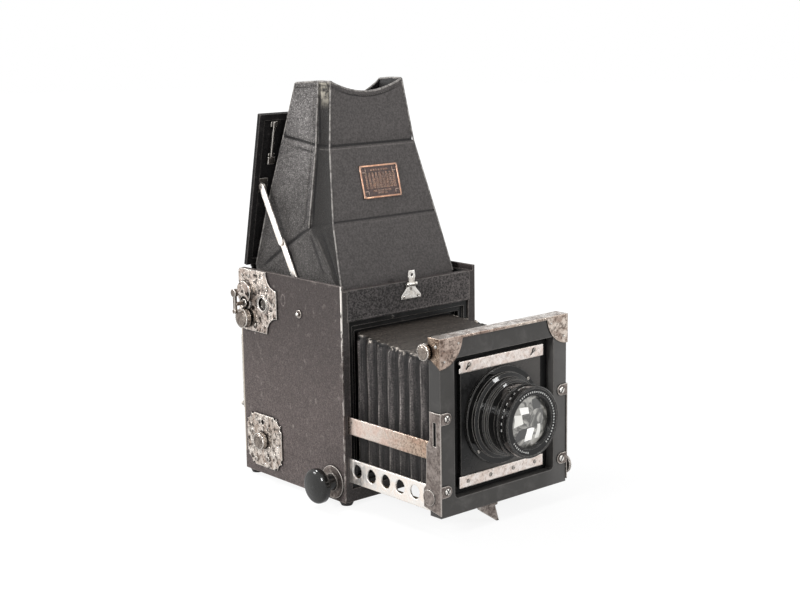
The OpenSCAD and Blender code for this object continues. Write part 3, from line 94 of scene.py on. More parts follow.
# %% [markdown]
# ## Wiring materials by hand
# Every finish below is a small network of nodes. Three helpers keep it readable: one places nodes
# and joins them, one opens a node group, so that an effect such as leather grain is built once
# and used by many materials with different numbers, and one starts a material.
# %% Node helpers
class Wiring:
    """Places nodes in one tree and joins them; its where is the place that patterns read."""

    def __init__(self, tree):
        self.tree = tree

    def add(self, kind, inputs=None, **settings):
        node = self.tree.nodes.new(kind)
        for name, value in settings.items():
            setattr(node, name, value)
        for name, value in (inputs or {}).items():
            self.feed(node.inputs[name], value)
        return node

    def feed(self, socket, value):
        if isinstance(value, bpy.types.NodeSocket):
            self.tree.links.new(value, socket)
        else:
            # A colour is written with three numbers; its fourth, how solid it is, is always 1
            socket.default_value = (*value, 1) if socket.type == "RGBA" else value

    def math(self, operation, a, b=0.0, c=0.0, clamp=False):
        return self.add("ShaderNodeMath", {0: a, 1: b, 2: c}, operation=operation, use_clamp=clamp).outputs[0]

    def times(self, a, b, plus=None, clamp=False):
        if plus is None:
            return self.math("MULTIPLY", a, b, clamp=clamp)
        return self.math("MULTIPLY_ADD", a, b, plus, clamp)

    def most(self, a, b):
        return self.math("MAXIMUM", a, b)

    def gap(self, a, b):
        return self.math("ABSOLUTE", self.math("SUBTRACT", a, b))

    def vector(self, operation, a, b=(0, 0, 0)):
        kind = "Value" if operation in ("LENGTH", "DOT_PRODUCT") else "Vector"
        return self.add("ShaderNodeVectorMath", {0: a, 1: b}, operation=operation).outputs[kind]

    def parts(self, vector=None):
        return self.add("ShaderNodeSeparateXYZ", {0: vector or self.where}).outputs

    def bent(self, scale, detail, reach):
        """The place, pushed to and fro by a noise."""
        names = {"Vector": self.where, "Scale": scale, "Detail": detail}
        push = self.add("ShaderNodeTexNoise", names).outputs["Color"]
        push = self.vector("SUBTRACT", push, (0.5, 0.5, 0.5))
        push = self.add("ShaderNodeVectorMath", {0: push, 3: reach}, operation="SCALE").outputs[0]
        return self.vector("ADD", self.where, push)

    def smooth(self, value, low, high, to_low=0.0, to_high=1.0):
        names = {"Value": value, "From Min": low, "From Max": high, "To Min": to_low, "To Max": to_high}
        return self.add("ShaderNodeMapRange", names, interpolation_type="SMOOTHSTEP").outputs["Result"]

    def blend(self, amount, a, b, how="MIX"):
        node = self.add("ShaderNodeMix", data_type="RGBA", blend_type=how)
        self.feed(node.inputs["Factor"], amount)
        self.feed(node.inputs[6], a)
        self.feed(node.inputs[7], b)
        return node.outputs[2]

    def coats(self, tone, *coats):
        """Lays coats over a tone, one after another; each is (mask, colour) or (mask, colour, strength)."""
        for mask, color, *strength in coats:
            tone = self.blend(self.times(mask, *strength) if strength else mask, tone, color)
        return tone

    def tint(self, color, by):
        return self.blend(1.0, color, by, "MULTIPLY")

    def shade(self, color, factor):
        """The colour made lighter or darker by a factor."""
        grey = self.add("ShaderNodeCombineColor", {0: factor, 1: factor, 2: factor})
        return self.tint(color, grey.outputs[0])

    def attribute(self, name):
        return self.add("ShaderNodeAttribute", attribute_name=name).outputs["Fac"]

    def facing(self, kind="Normal"):
        return self.parts(self.add("ShaderNodeNewGeometry").outputs[kind])

    def noise(self, scale, detail=4.0, rough=0.55, lumps=0.0, along=None):
        """Noise at the place; along, three numbers, squeezes it by axis."""
        where = self.vector("MULTIPLY", self.where, along) if along else self.where
        names = {"Vector": where, "Scale": scale, "Detail": detail, "Roughness": rough, "Distortion": lumps}
        return self.add("ShaderNodeTexNoise", names).outputs["Fac"]

    def feed_all(self, node, values):
        for name, value in values.items():
            self.feed(node.inputs[name.replace("_", " ")], value)

    def group(self, tree, **values):
        node = self.add("ShaderNodeGroup", node_tree=tree)
        self.feed_all(node, {"Vector": self.where, **values})
        return node.outputs

    def puts(self, **outputs):
        """Ends a node group with what it puts out; returns the group."""
        for label in outputs:
            kind = "NodeSocketVector" if label == "Rounded" else "NodeSocketFloat"
            self.tree.interface.new_socket(label, in_out="OUTPUT", socket_type=kind)
        self.feed_all(self.add("NodeGroupOutput"), outputs)
        return self.tree

    def surface(self, tone, rough, height, strength, distance, rounded=None):
        """Feeds the shader its colour, roughness and bumps; returns the material."""
        names = {"Strength": strength, "Distance": distance, "Height": height}
        if rounded:
            names["Normal"] = rounded
        bumps = self.add("ShaderNodeBump", names).outputs["Normal"]
        self.feed_all(self.shader, {"Base Color": tone, "Roughness": rough, "Normal": bumps})
        return self.material


def effect(name, **inputs):
    """Opens a node group; returns its wiring and its inputs."""
    tree = bpy.data.node_groups.new(name, "ShaderNodeTree")
    for label, default in {"Vector": (0, 0, 0), **inputs}.items():
        kind = "NodeSocketVector" if isinstance(default, tuple) else "NodeSocketFloat"
        socket = tree.interface.new_socket(label.replace("_", " "), in_out="INPUT", socket_type=kind)
        socket.default_value = default
    wiring = Wiring(tree)
    given = wiring.add("NodeGroupInput").outputs
    wiring.where = given["Vector"]
    return wiring, given


def finish(name, **sockets):
    """Starts a material that reads object coordinates; returns its wiring."""
    material = bpy.data.materials.new(name)
    material.use_nodes = True
    wiring = Wiring(material.node_tree)
    wiring.material, wiring.shader = material, wiring.tree.nodes["Principled BSDF"]
    wiring.where = wiring.add("ShaderNodeTexCoord").outputs["Object"]
    wiring.feed_all(wiring.shader, sockets)
    return wiring


def dim(color, factor, plus=0.0):
    return [c * factor + plus for c in color]


print("node helpers ready")

# %% [markdown]
# ## Shared effects
# Old cameras wear in a few typical ways. Leather has a pebbled grain that is pressed into it,
# edges are rubbed until the colour goes, paint and plate age in cloudy patches, and nickel gets
# small dark pits. Each of these is one group. The edge finder compares the true surface
# direction with one that is rounded over a small radius: where they differ, there is an edge.
# The rounded direction itself goes to hard finishes, whose edges then catch a line of light,
# and their even edge line is also painted into the colour as a painted highlight.
# The crevice finder asks how much of the view from a point is blocked close by: the colour is
# darkened there as painted shade, together with the dirt and old polish that stay in such places.
# %% Leather grain
wire, given = effect("Leather grain", Cells_per_metre=650.0, Unevenness=0.5)
names = {"Vector": wire.bent(160.0, 2.0, 0.0016), "Scale": given["Cells per metre"]}
cells = wire.add("ShaderNodeTexVoronoi", names, feature="DISTANCE_TO_EDGE")
pebble = wire.smooth(cells.outputs["Distance"], 0.02, 0.38)
lumps = wire.noise(190.0, 3.0)
tops = wire.times(pebble, wire.smooth(lumps, 0.25, 0.75, 0.35, 1.0))
fine = wire.times(wire.noise(2400.0, 2.0), given["Unevenness"])
speckle = wire.noise(wire.times(given["Cells per metre"], 0.8), 2.0, 0.7)
speckle = wire.times(wire.smooth(speckle, 0.37, 0.63), 1.1)
leather_grain = wire.puts(
    Height=wire.math("ADD", tops, fine),
    Valley=wire.math("SUBTRACT", 1.0, pebble, clamp=True),
    Tone=wire.times(wire.smooth(lumps, 0.36, 0.64), 0.15, speckle))

# %% Worn and lit edges
wire, given = effect("Worn and lit edges", Raggedness=0.6, Amount=1.0)
rounded = wire.add("ShaderNodeBevel", {"Radius": 0.0016}, samples=6).outputs["Normal"]
facing = wire.add("ShaderNodeNewGeometry").outputs["True Normal"]
apart = wire.math("SUBTRACT", 1.0, wire.vector("DOT_PRODUCT", rounded, facing), clamp=True)
rub = wire.math("SUBTRACT", wire.noise(110.0, 5.0, 0.62), 0.5)
ragged = wire.smooth(wire.times(rub, given["Raggedness"], apart), 0.03, 0.2)
mask = wire.times(ragged, given["Amount"], clamp=True)
# Mask is ragged wear; Line, even along every edge, serves as a painted highlight
worn_and_lit_edges = wire.puts(Mask=mask, Line=wire.smooth(apart, 0.01, 0.12), Rounded=rounded)

# %% Crevice grime and painted shade
wire, given = effect("Crevice grime_and_shade", Reach=0.003, Amount=1.0)
open_sky = wire.add("ShaderNodeAmbientOcclusion", {"Distance": given["Reach"]}, samples=8).outputs["AO"]
# An ambient occlusion mask: it paints shade into crevices, standing also for their dirt
crevice_grime_and_shade = wire.puts(Mask=wire.times(wire.smooth(open_sky, 0.95, 0.5), given["Amount"], clamp=True))

# %% Clouded age, pits and zones
wire, given = effect("Clouded age", Patches_per_metre=30.0, Low=0.42, High=0.62)
patches = wire.noise(given["Patches per metre"], 7.0, 0.66, 0.6)
clouded_age = wire.puts(
    Mask=wire.smooth(patches, given["Low"], given["High"]),
    Speck=wire.smooth(wire.noise(900.0, 3.0, 0.7), 0.6, 0.72))

wire, given = effect("Box zone", Low_corner=(0, 0, 0), High_corner=(1, 1, 1))
above = wire.vector("SUBTRACT", wire.where, given["Low corner"])
below = wire.vector("SUBTRACT", given["High corner"], wire.where)
least = wire.parts(wire.vector("MINIMUM", above, below))
narrow = wire.math("MINIMUM", wire.math("MINIMUM", least[0], least[1]), least[2])
box_zone = wire.puts(Mask=wire.smooth(narrow, -0.0001, 0.0001))


def inside_box(wire, low, high, where=None):
    return wire.group(box_zone, Vector=where or wire.where, Low_corner=low, High_corner=high)["Mask"]


def clouds(wire, patches, low, high):
    return wire.group(clouded_age, Patches_per_metre=patches, Low=low, High=high)


def wear_and_light(wire, raggedness, amount):
    return wire.group(worn_and_lit_edges, Raggedness=raggedness, Amount=amount)


def grime_and_shade(wire, reach, amount):
    return wire.group(crevice_grime_and_shade, Reach=reach, Amount=amount)["Mask"]


def pebbles(wire, cells, unevenness):
    return wire.group(leather_grain, Cells_per_metre=cells, Unevenness=unevenness)


print("effects:", [g.name for g in bpy.data.node_groups])

# %% [markdown]
# ## Leather over wood
# The body is mahogany with leather glued over it. Its sides have faded to a warm brown grey, with
# a shine on the high grain and bare fibres along the corners, while the front stayed nearly
# black and the inside is painted matt black. One material does all three, because the case is
# one solid: boxes in object space say where the front and the inside are.
# %% Case leather
left_wall = -0.096


def leather_case(name, faded, dark, edge, inside=True, speckle=0.5, sheen=0.3, cells=700.0):
    wire = finish(name, Specular_IOR_Level=sheen)
    grain = pebbles(wire, cells, 0.35)
    streak = wire.noise(1.0, 5.0, 0.6, along=(60, 60, 9))
    across, _, height = wire.parts()
    warm = wire.coats(
        dim(faded, 1.1),
        (clouds(wire, 16.0, 0.34, 0.7)["Mask"], dim(faded, 0.86)),
        (wire.smooth(streak, 0.5, 0.8, 0.0, 0.3), dim(faded, 1.3)))
    if inside:
        # A crescent rubbed by the winding key, a chip below it and painted shade along a long shallow crease
        ring = wire.vector("SUBTRACT", wire.where, (left_wall, 0.0105, 0.2072))
        ring = wire.gap(wire.vector("LENGTH", wire.vector("MULTIPLY", ring, (1, 1.7, 1))), 0.0062)
        ring = wire.smooth(ring, 0.0011, 0.0004, 0.0, 0.5)
        chip = wire.vector("LENGTH", wire.vector("SUBTRACT", wire.where, (left_wall, 0.0655, 0.1622)))
        chip = wire.smooth(chip, 0.0014, 0.0008)
        crease_shade = wire.gap(wire.times(streak, 0.01, height), 0.0385)
        warm = wire.coats(
            warm,
            # Painted shade: the sides are darker toward the top
            (wire.smooth(height, 0.05, 0.235), dim(faded, 0.5)),
            (inside_box(wire, (-0.094, -0.2, -1), (0.094, -0.0895, 1)), dark),
            (wire.most(ring, chip), (0.36, 0.31, 0.29)),
            (wire.smooth(crease_shade, 0.0012, 0.0004, 0.0, 0.4), dim(faded, 0.45)))
    shade = wire.coats(
        wire.shade(warm, wire.times(grain["Tone"], speckle, 1.0 - 0.62 * speckle)),
        (grain["Valley"], dim(faded, 0.4), 0.4),
        # Painted shade in crevices, with their dirt
        (grime_and_shade(wire, 0.005, 0.9), dim(faded, 0.14)),
        (wear_and_light(wire, 0.5, 0.8)["Mask"], edge, 0.75))
    rough = wire.times(grain["Valley"], 0.25, 0.45)
    if inside:
        # The corner that hands touch most is rubbed down to the pale fibre
        corner = inside_box(wire, (-0.1, -0.1, -1), (-0.0946, -0.0896, 1))
        flakes = wire.noise(300.0, 5.0, 0.7, along=(1, 1, 0.3))
        rubbed = wire.smooth(wire.times(wire.smooth(height, 0.16, 0.2), 0.14, flakes), 0.51, 0.56)
        rubbed = wire.times(rubbed, wire.times(wire.smooth(height, 0.14, 0.2), 0.6, 0.4))
        back_edge = inside_box(wire, (-0.1, 0.0893, 0.02), (-0.0948, 0.1, 0.165))
        hollow = inside_box(wire, (-0.0879, -0.0835, 0.0095), (0.0879, 1, 0.2365))
        shade = wire.coats(
            shade,
            (wire.times(corner, rubbed), (0.85, 0.8, 0.75)),
            (back_edge, (0.45, 0.4, 0.33), 0.8),
            (hollow, (0.012, 0.012, 0.012)))
        rough = wire.most(rough, wire.times(hollow, 0.7))
    else:
        # Painted light: toward its right the front is lighter
        pale = wire.tint(shade, (1.7, 1.65, 1.62))
        shade = wire.blend(wire.smooth(across, -0.05, 0.09, 0.0, 0.75), shade, pale)
    return wire.surface(shade, rough, grain["Height"], 0.6, 0.0005)


leather_case(
    "Faded_side_leather", (0.113, 0.091, 0.086), (0.053, 0.048, 0.047), (0.42, 0.37, 0.34), speckle=0.65)
leather_case(
    "Black_leather", (0.066, 0.06, 0.059), (0.03, 0.03, 0.03), (0.26, 0.24, 0.23), False, 1.5, cells=560.0)
leather_case("Lid_leather", (0.016, 0.015, 0.015), (0.01, 0.01, 0.01), (0.2, 0.18, 0.17), False, 0.9, 0.15)

# %% [markdown]
# ## Black painted wood
# The front frame, lens board and stepped trim are wood under black lacquer. Lacquer is smooth
# with a soft gloss, shows fine grain only as long shallow waves, and goes grey on its corners.
# %% Lacquer
def black_lacquer(name, tone, rough, edge_wear_and_highlight, gloss=0.3):
    wire = finish(name, Specular_IOR_Level=gloss)
    rub = wear_and_light(wire, 0.35, edge_wear_and_highlight)
    age = clouds(wire, 45.0, 0.45, 0.75)
    # Edges go grey where rubbed, and an even painted highlight lies along every edge
    rubbed = wire.most(rub["Mask"], wire.times(rub["Line"], 0.65 * edge_wear_and_highlight))
    base = wire.coats(
        tone,
        (age["Mask"], dim(tone, 1.5, 0.004)),
        (age["Speck"], (0.16, 0.15, 0.14), 0.18),
        # Painted shade in crevices, with their dirt
        (grime_and_shade(wire, 0.006, 0.8), dim(tone, 0.2)),
        (rubbed, (0.34, 0.32, 0.3), 0.8))
    across, _, height = wire.parts()
    if name == "Frame_lacquer":
        # Painted light and shade: the far upright is lighter, as it catches more of the room, the side
        # in shade is darker, and a slot in the near side is painted near black as painted shade
        slot = inside_box(wire, (-0.1, -0.235, 0.088), (-0.0895, -0.222, 0.12))
        base = wire.coats(
            base,
            (wire.smooth(across, 0.05, 0.085, 0.0, 0.35), (0.2, 0.195, 0.19)),
            (wire.smooth(across, -0.0885, -0.0905, 0.0, 0.5), (0.02, 0.02, 0.02)),
            (slot, (0.003, 0.003, 0.003)))
    if name == "Board_lacquer":
        # Painted light: the panel is greyer towards its upper right and its foot
        grey = wire.smooth(wire.times(wire.gap(height, 0.118), 1.2, across), -0.005, 0.095, 0.0, 0.85)
        base = wire.blend(grey, base, (0.11, 0.103, 0.097))
    waves = wire.noise(1.0, 3.0, along=(30, 30, 260))
    return wire.surface(base, wire.times(age["Mask"], 0.14, rough), waves, 0.25, 0.0003, rub["Rounded"])


black_lacquer("Frame_lacquer", (0.062, 0.059, 0.056), 0.36, 0.8)
black_lacquer("Board_lacquer", (0.012, 0.012, 0.012), 0.24, 0.5, 0.26)
black_lacquer("Trim_lacquer", (0.009, 0.009, 0.009), 0.3, 1.0, 0.25)
black_lacquer("Inner_matt_black", (0.01, 0.01, 0.01), 0.6, 0.3, 0.2)
print("leather and lacquer ready")

# %% [markdown]
# ## Aged nickel
# Nickel plate on brass turns from bluish white to a warm cream, with pinkish clouds where it
# thins and small dark pits. Metal has no diffuse colour of its own, so the clouds go into the
# base colour and the roughness at once: a cloudy spot is both darker and duller.
# %% Nickel
def aged_nickel(name, bright, cloud, pit, pits=0.8, rough=0.26, edge_wear_and_highlight=0.5, fine=260.0, relief=0.25,
                reach=0.0032, tinting=None):
    wire = finish(name, Metallic=1.0)
    broad, close = clouds(wire, 85.0, 0.4, 0.62), clouds(wire, fine, 0.46, 0.62)
    rub = wear_and_light(wire, 0.3, edge_wear_and_highlight)
    color = wire.coats(
        bright,
        (broad["Mask"], cloud),
        (close["Mask"], pit, pits * 0.6),
        (close["Speck"], pit, pits),
        # Painted highlight: an even bright line along every edge
        (rub["Line"], (0.95, 0.9, 0.84), edge_wear_and_highlight),
        # Painted shade in crevices, with their dirt
        (grime_and_shade(wire, reach, 0.97), (0.018, 0.014, 0.012)))
    if tinting:
        color = wire.tint(color, tinting(wire))
    dull = wire.times(close["Mask"], 0.2, wire.times(broad["Mask"], 0.16, rough))
    grit = wire.times(close["Speck"], -0.6, wire.noise(500.0, 4.0))
    return wire.surface(color, dull, grit, relief, 0.0003, rub["Rounded"])


def browned_forward(wire):
    """The braces have gone brown and mottled toward the front."""
    forward = wire.smooth(wire.parts()[1], -0.12, -0.215)
    brown = wire.blend(forward, (0.96, 0.93, 0.93), (0.68, 0.57, 0.49))
    mottle = wire.times(forward, wire.smooth(wire.noise(380.0, 6.0), 0.47, 0.6))
    return wire.coats(brown, (mottle, (0.26, 0.21, 0.18), 0.8))


aged_nickel(
    "Plate_nickel", (0.96, 0.88, 0.8), (0.46, 0.37, 0.31), (0.02, 0.014, 0.011), 1.6, 0.2, 0.8, 230.0, 1.0)
aged_nickel(
    "Upper_plate_nickel", (0.8, 0.72, 0.65), (0.36, 0.29, 0.25), (0.018, 0.013, 0.01),
    1.7, 0.2, 0.9, 200.0, 1.0)
aged_nickel(
    "Knob_nickel", (0.36, 0.31, 0.27), (0.16, 0.13, 0.11), (0.03, 0.024, 0.02), 0.9, 0.14, 1.0, relief=0.5)
aged_nickel("Strip_nickel", (1.0, 0.93, 0.88), (0.84, 0.72, 0.65), (0.2, 0.14, 0.11), 0.6, 0.24, reach=0.0015)
aged_nickel("Rail_nickel", (1.0, 0.97, 0.93), (0.9, 0.82, 0.75), (0.3, 0.22, 0.17), 0.3, 0.3, reach=0.001)
aged_nickel(
    "Brace_nickel", (0.88, 0.8, 0.72), (0.76, 0.62, 0.54), (0.2, 0.14, 0.11),
    0.4, 0.22, tinting=browned_forward)
aged_nickel(
    "Dull_side_nickel", (0.33, 0.285, 0.26), (0.18, 0.15, 0.136), (0.04, 0.032, 0.028), 0.85, 0.36, 0.6)
bright_nickel = aged_nickel(
    "Bright_nickel", (0.97, 0.95, 0.91), (0.78, 0.73, 0.67), (0.12, 0.1, 0.08), 0.6, 0.18)
aged_nickel("Old_brass", (0.62, 0.46, 0.2), (0.36, 0.24, 0.1), (0.1, 0.06, 0.03), 0.5, 0.3)
aged_nickel("Dark_steel", (0.2, 0.18, 0.16), (0.09, 0.082, 0.074), (0.03, 0.025, 0.02), 0.5, 0.34, 1.0)

# %% [markdown]
# The cap of the front frame is one folded sheet. Its tone is painted light and shade picked by
# the surface direction: the top is bright and the sides nearly dark, and on the front the left
# corner is a mottled brown, paler toward the right.
# %% Nickel of the cap
def painted_light_by_side(wire):
    ways = wire.facing("True Normal")
    corners = wire.smooth(wire.parts()[0], -0.02, 0.02)
    corners = wire.blend(corners, (0.66, 0.56, 0.51), (0.95, 0.88, 0.82))
    lit_top_and_front = wire.blend(wire.smooth(wire.times(ways[1], -1.0), 0.4, 0.8), (0.86, 0.85, 0.84), corners)
    return wire.blend(wire.smooth(wire.math("ABSOLUTE", ways[0]), 0.4, 0.8), lit_top_and_front, (0.4, 0.32, 0.26))


aged_nickel(
    "Cap_nickel", (0.9, 0.85, 0.8), (0.45, 0.38, 0.34), (0.07, 0.055, 0.045), 1.2, 0.2, relief=0.9,
    tinting=painted_light_by_side)

# %% [markdown]
# ## Enamel, ebonite, cloth and glass
# The lens barrel is black enamel over brass, glossy with fine turning lines and a painted highlight
# on its ribs' edges. The knob is polished ebonite. Ground glass scatters light, the mirror is
# silvered on its face, and the lens glass carries painted pale reflections, which glow a little
# and make the picture come alive.
# %% Enamel and ebonite
groove_step = 0.0013


def gloss_black(name, tone, rough, coat, grooves=0.0, edge=0.0):
    wire = finish(name, Coat_Weight=coat, Coat_Roughness=0.02, Specular_IOR_Level=0.15)
    age = clouds(wire, 120.0, 0.5, 0.8)
    rub = wear_and_light(wire, 0.15, 0.45)
    # Painted highlight: a thin bright line along each rib's edge
    bare = wire.times(wire.smooth(rub["Line"], 0.7, 1.0), edge)
    base = wire.coats(
        tone,
        (age["Mask"], dim(tone, 1.0, 0.02), 0.5),
        (rub["Mask"], (0.22, 0.2, 0.18)),
        (bare, (0.8, 0.77, 0.72)))
    # Turning grooves run round the lens axis, so their height changes only along it
    turning = wire.math("SINE", wire.times(wire.parts()[1], 2 * math.pi / groove_step))
    height = wire.times(turning, grooves, wire.times(wire.noise(700.0, 2.0), 0.12))
    return wire.surface(base, wire.times(age["Mask"], 0.2, rough), height, 1.0, 0.0001, rub["Rounded"])


gloss_black("Lens_enamel", (0.0025, 0.0025, 0.0025), 0.1, 0.5, 0.9, 0.2)
gloss_black("Polished_ebonite", (0.012, 0.012, 0.011), 0.1, 0.6)


def plain_finish(name, tone, other, rough, scale, depth=0.0002, **sockets):
    """A finish of two clouded tones with a fine bump."""
    wire = finish(name, **sockets)
    cloud = wire.noise(scale, 5.0)
    tone = wire.blend(wire.smooth(cloud, 0.35, 0.65), tone, other)
    fine = wire.noise(scale * 12, 2.0)
    return wire.surface(tone, wire.times(cloud, 0.15, rough - 0.07), fine, 0.3, depth)


plain_finish("Varnished_roller", (0.3, 0.17, 0.08), (0.2, 0.1, 0.045), 0.35, 60.0)
plain_finish("Rubbered_cloth", (0.01, 0.01, 0.011), (0.018, 0.017, 0.017), 0.6, 300.0)
plain_finish("Ground_glass", (0.62, 0.66, 0.66), (0.55, 0.6, 0.6), 0.45, 500.0, Alpha=0.75)
plain_finish("Silvered_mirror", (0.85, 0.86, 0.87), (0.8, 0.81, 0.83), 0.1, 40.0, 0.00002, Metallic=1.0)
white_ink = plain_finish("White_filled_engraving", (0.8, 0.8, 0.78), (0.62, 0.62, 0.6), 0.5, 900.0)

# %% Lens glass
wire = finish("Coated_lens_glass", Specular_IOR_Level=0.9, IOR=1.6)
smear_and_reflection_mask = wire.noise(60.0, 4.0, 0.6, 1.6)
painted_reflections = wire.blend(wire.smooth(smear_and_reflection_mask, 0.4, 0.6), (0.44, 0.43, 0.4), (0.09, 0.088, 0.082))
# Painted reflections: broken, slightly bent patches of light from the lens's inner surfaces are
# painted into the colour
bent = wire.bent(38.0, 1.0, 0.012)
for left, low, right_side, high, reflection_tone in (
    (-0.016, 0.09, 0.003, 0.1, (0.03, 0.03, 0.03)),
    (-0.013, 0.116, -0.002, 0.124, (0.95, 0.94, 0.92)),
    (-0.021, 0.106, -0.012, 0.116, (0.85, 0.84, 0.8)),
    (-0.008, 0.087, 0.004, 0.099, (0.98, 0.97, 0.95)),
    (0.009, 0.088, 0.014, 0.104, (0.8, 0.79, 0.76)),
    (0.004, 0.119, 0.016, 0.131, (0.05, 0.05, 0.048)),
):
    patch = inside_box(wire, (left, -1, low), (right_side, 1, high), bent)
    painted_reflections = wire.coats(painted_reflections, (patch, reflection_tone, 0.96))
# The glass glows a little with its painted reflections
names = {"Base Color": painted_reflections, "Emission Color": wire.tint(painted_reflections, painted_reflections), "Emission Strength": 0.3}
wire.feed_all(wire.shader, {**names, "Roughness": wire.smooth(smear_and_reflection_mask, 0.3, 0.7, 0.02, 0.1)})
print("materials:", len(bpy.data.materials))

# %% [markdown]
# ## Dressing the solids
# Each solid now gets the finish of the real piece. The table names every finish and the solids
# that wear it, and a last check prints any solid that was forgotten.
# %% Assign finishes
dress = {
    "Faded_side_leather": "case",
    "Black_leather": "front_panel back_panel back_frame case_feet",
    "Lid_leather": "lid",
    "Trim_lacquer": "front_trim",
    "Inner_matt_black": "screen_frame shutter_frame mirror_tray rise_panel iris_leaves hinge_body hinge_lid",
    "Frame_lacquer": "standard_frame",
    "Board_lacquer": "lens_board",
    "Plate_nickel": "plate_lower",
    "Upper_plate_nickel": "plate_upper",
    "Knob_nickel": "curtain_knob tension_knob front_lock winding_key case_screws",
    "Cap_nickel": "standard_cap",
    "Strip_nickel": "strip_upper strip_lower",
    "Rail_nickel": "rails stay_upper stay_lower",
    "Brace_nickel": "braces",
    "Dull_side_nickel": "side_plates rail_nut foot_bracket prop_foot side_collars mirror_lever",
    "Bright_nickel": "latch_base latch_tongue standard_screws release_button back_lock",
    "Old_brass": "tripod_bush racks focus_shaft",
    "Dark_steel": "curtain_dial stay_bracket hood_strut board_screws",
    "Lens_enamel": "lens_barrel aperture_ring",
    "Polished_ebonite": "focus_knob",
    "Varnished_roller": "roller_upper roller_lower",
    "Rubbered_cloth": "curtain",
    "Ground_glass": "ground_glass",
    "Silvered_mirror": "mirror_glass",
    "Coated_lens_glass": "lens_glass",
}
dressed = set()
for finish_name, solids in dress.items():
    material = bpy.data.materials[finish_name]
    for name in solids.split():
        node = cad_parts[name]
        if not node.material_slots:
            node.data.materials.append(material)
        for slot in node.material_slots:
            slot.material = material
        dressed.add(name)
print("still bare:", sorted(set(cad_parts) - dressed))

# %% [markdown]
# ## Turning meshes into pieces
# A new piece needs the same three things every time: a mesh with outward normals, a material and
# a body to ride on. This helper does them together.
# %% Piece helper
def piece(bm, name, body, slot, *materials, smooth=True, outward=True):
    if outward:
        bmesh.ops.recalc_face_normals(bm, faces=bm.faces[:])
    mesh = bpy.data.meshes.new(name)
    bm.to_mesh(mesh)
    bm.free()
    for face in mesh.polygons:
        face.use_smooth = smooth
    obj = in_scene(name, mesh)
    for material in materials:
        mesh.materials.append(material)
    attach(obj, body)
    return obj


def triangles_of(obj):
    return sum(len(f.vertices) - 2 for f in obj.data.polygons)


def mix(a, b, t):
    return a + (b - a) * t


def bell(distance, width):
    return math.exp(-((distance / width) ** 2))


def hump(t):
    """0 at both ends and 1 in the middle."""
    return 4 * t * (1 - t)


# %% [markdown]
# ## The hood's leather
# The viewing hood is soft leather over stiff boards. Each board is nearly flat; between boards
# the leather folds, and at the two front corners it tucks in as a pleat. The surface starts
# as one flat grid. Every point of it is moved to its place on a board, and is then pushed in or
# out for the fold lines, the tucked corners and the slight sag. An attribute remembers how
# creased each point is, so the material can rub the ridges and darken the valleys with painted
# shade; the tucked pleats get painted shade too.
# %% Boards of the hood
# Corner places in millimetres for each fold, from the screen to the rim: front, side fold, rear
hood_rows = [
    [(80, -72, 196), (80, -61, 196), (80, 81, 196)],
    [(80, -72, 229), (80, -62, 232), (80, 81, 236)],
    [(73, -52, 294), (72.5, -9, 286), (74, 64, 304)],
    [(59.5, -32, 373), (60, -9, 373), (65, 43, 381)],
    [(50, -24, 442), (51, -4, 442), (60, 25, 440)],
]
across = [64, 14, 48, 56, 48, 14]
upward = [6, 32, 40, 36]
top_band = len(upward) - 1


def mirrored(p):
    return Vector((-p[0], p[1], p[2]))


def hood_corners(row):
    front, side, rear = (Vector(p) for p in hood_rows[row])
    return [mirrored(front), front, side, rear, mirrored(rear), mirrored(side)]


def rim_dip(panel, s):
    """The rim dips between the eyes in front and for the brow behind."""
    return {0: 12.3, 3: 22.0}.get(panel, 0.0) * math.sin(math.pi * s) ** 0.85


def station(index, counts):
    for panel, count in enumerate(counts):
        if index < count or panel == len(counts) - 1:
            return panel, index / count
        index -= count


def sheet(across, upward):
    bm = bmesh.new()
    bmesh.ops.create_grid(bm, x_segments=sum(across), y_segments=sum(upward), size=1.0)
    return bm


def points_of(bm, across, upward):
    """Each point of a flat sheet, with the panel and the band that it lies in and how far along it is."""
    for vert in bm.verts:
        yield vert, *(station(round((vert.co[i] + 1) / 2 * sum(c)), c) for i, c in enumerate((across, upward)))


def close_seam(bm):
    bmesh.ops.remove_doubles(bm, verts=bm.verts[:], dist=0.01)


def to_metres(bm):
    bmesh.ops.scale(bm, vec=(0.001, 0.001, 0.001), verts=bm.verts[:])


# Creases, as pairs of points on the left side, mirrored on the right: first the folded
# gussets, then the seam that runs round inside the side board
creases = [
    ((51.5, -0.5, 434), (60, -4.5, 376), 1.2, -0.9),
    ((51, -6.5, 440), (60, -11.5, 374), 1.3, -1.7),
    ((60, -11.5, 372), (72.5, -11.5, 288), 1.3, -1.7),
    ((51, -21, 440), (59.5, -30, 374), 1.3, -1.5),
    ((59.5, -30, 372), (73, -48, 295), 1.3, -1.5),
    ((72.5, -9, 286), (79.5, 68, 237), 2.0, -2.2),
    ((73, -12, 281), (79.5, 58, 233), 2.2, 1.5),
    ((73, -19, 283), (80, -61, 236), 2.2, 1.5),
    ((73, -28, 287), (80, -66, 234), 2.2, -1.3),
    ((73, -37, 290), (80, -70, 233), 2.0, 1.0),
    ((73, -9, 284), (80, -45, 234), 2.4, -1.0),
    ((61, -9, 366), (64, 38, 373), 1.5, -1.3),
    ((61.5, -7, 361.5), (64.5, 34, 368), 1.3, 0.8),
    ((61.5, -3, 362), (66.5, -3, 326), 1.5, -1.0),
    ((66.5, -3, 326), (71, -2.5, 297), 1.5, -1.0),
    ((71, -2.5, 297), (73.5, 5, 283), 1.5, -1.0),
    ((62, 0, 360), (71, 0.5, 298), 1.3, 0.8),
]


def to_segment(p, a, b):
    a, b = Vector(a), Vector(b)
    t = max(0.0, min(1.0, (p - a).dot(b - a) / (b - a).length_squared))
    return (p - (a + (b - a) * t)).length, t


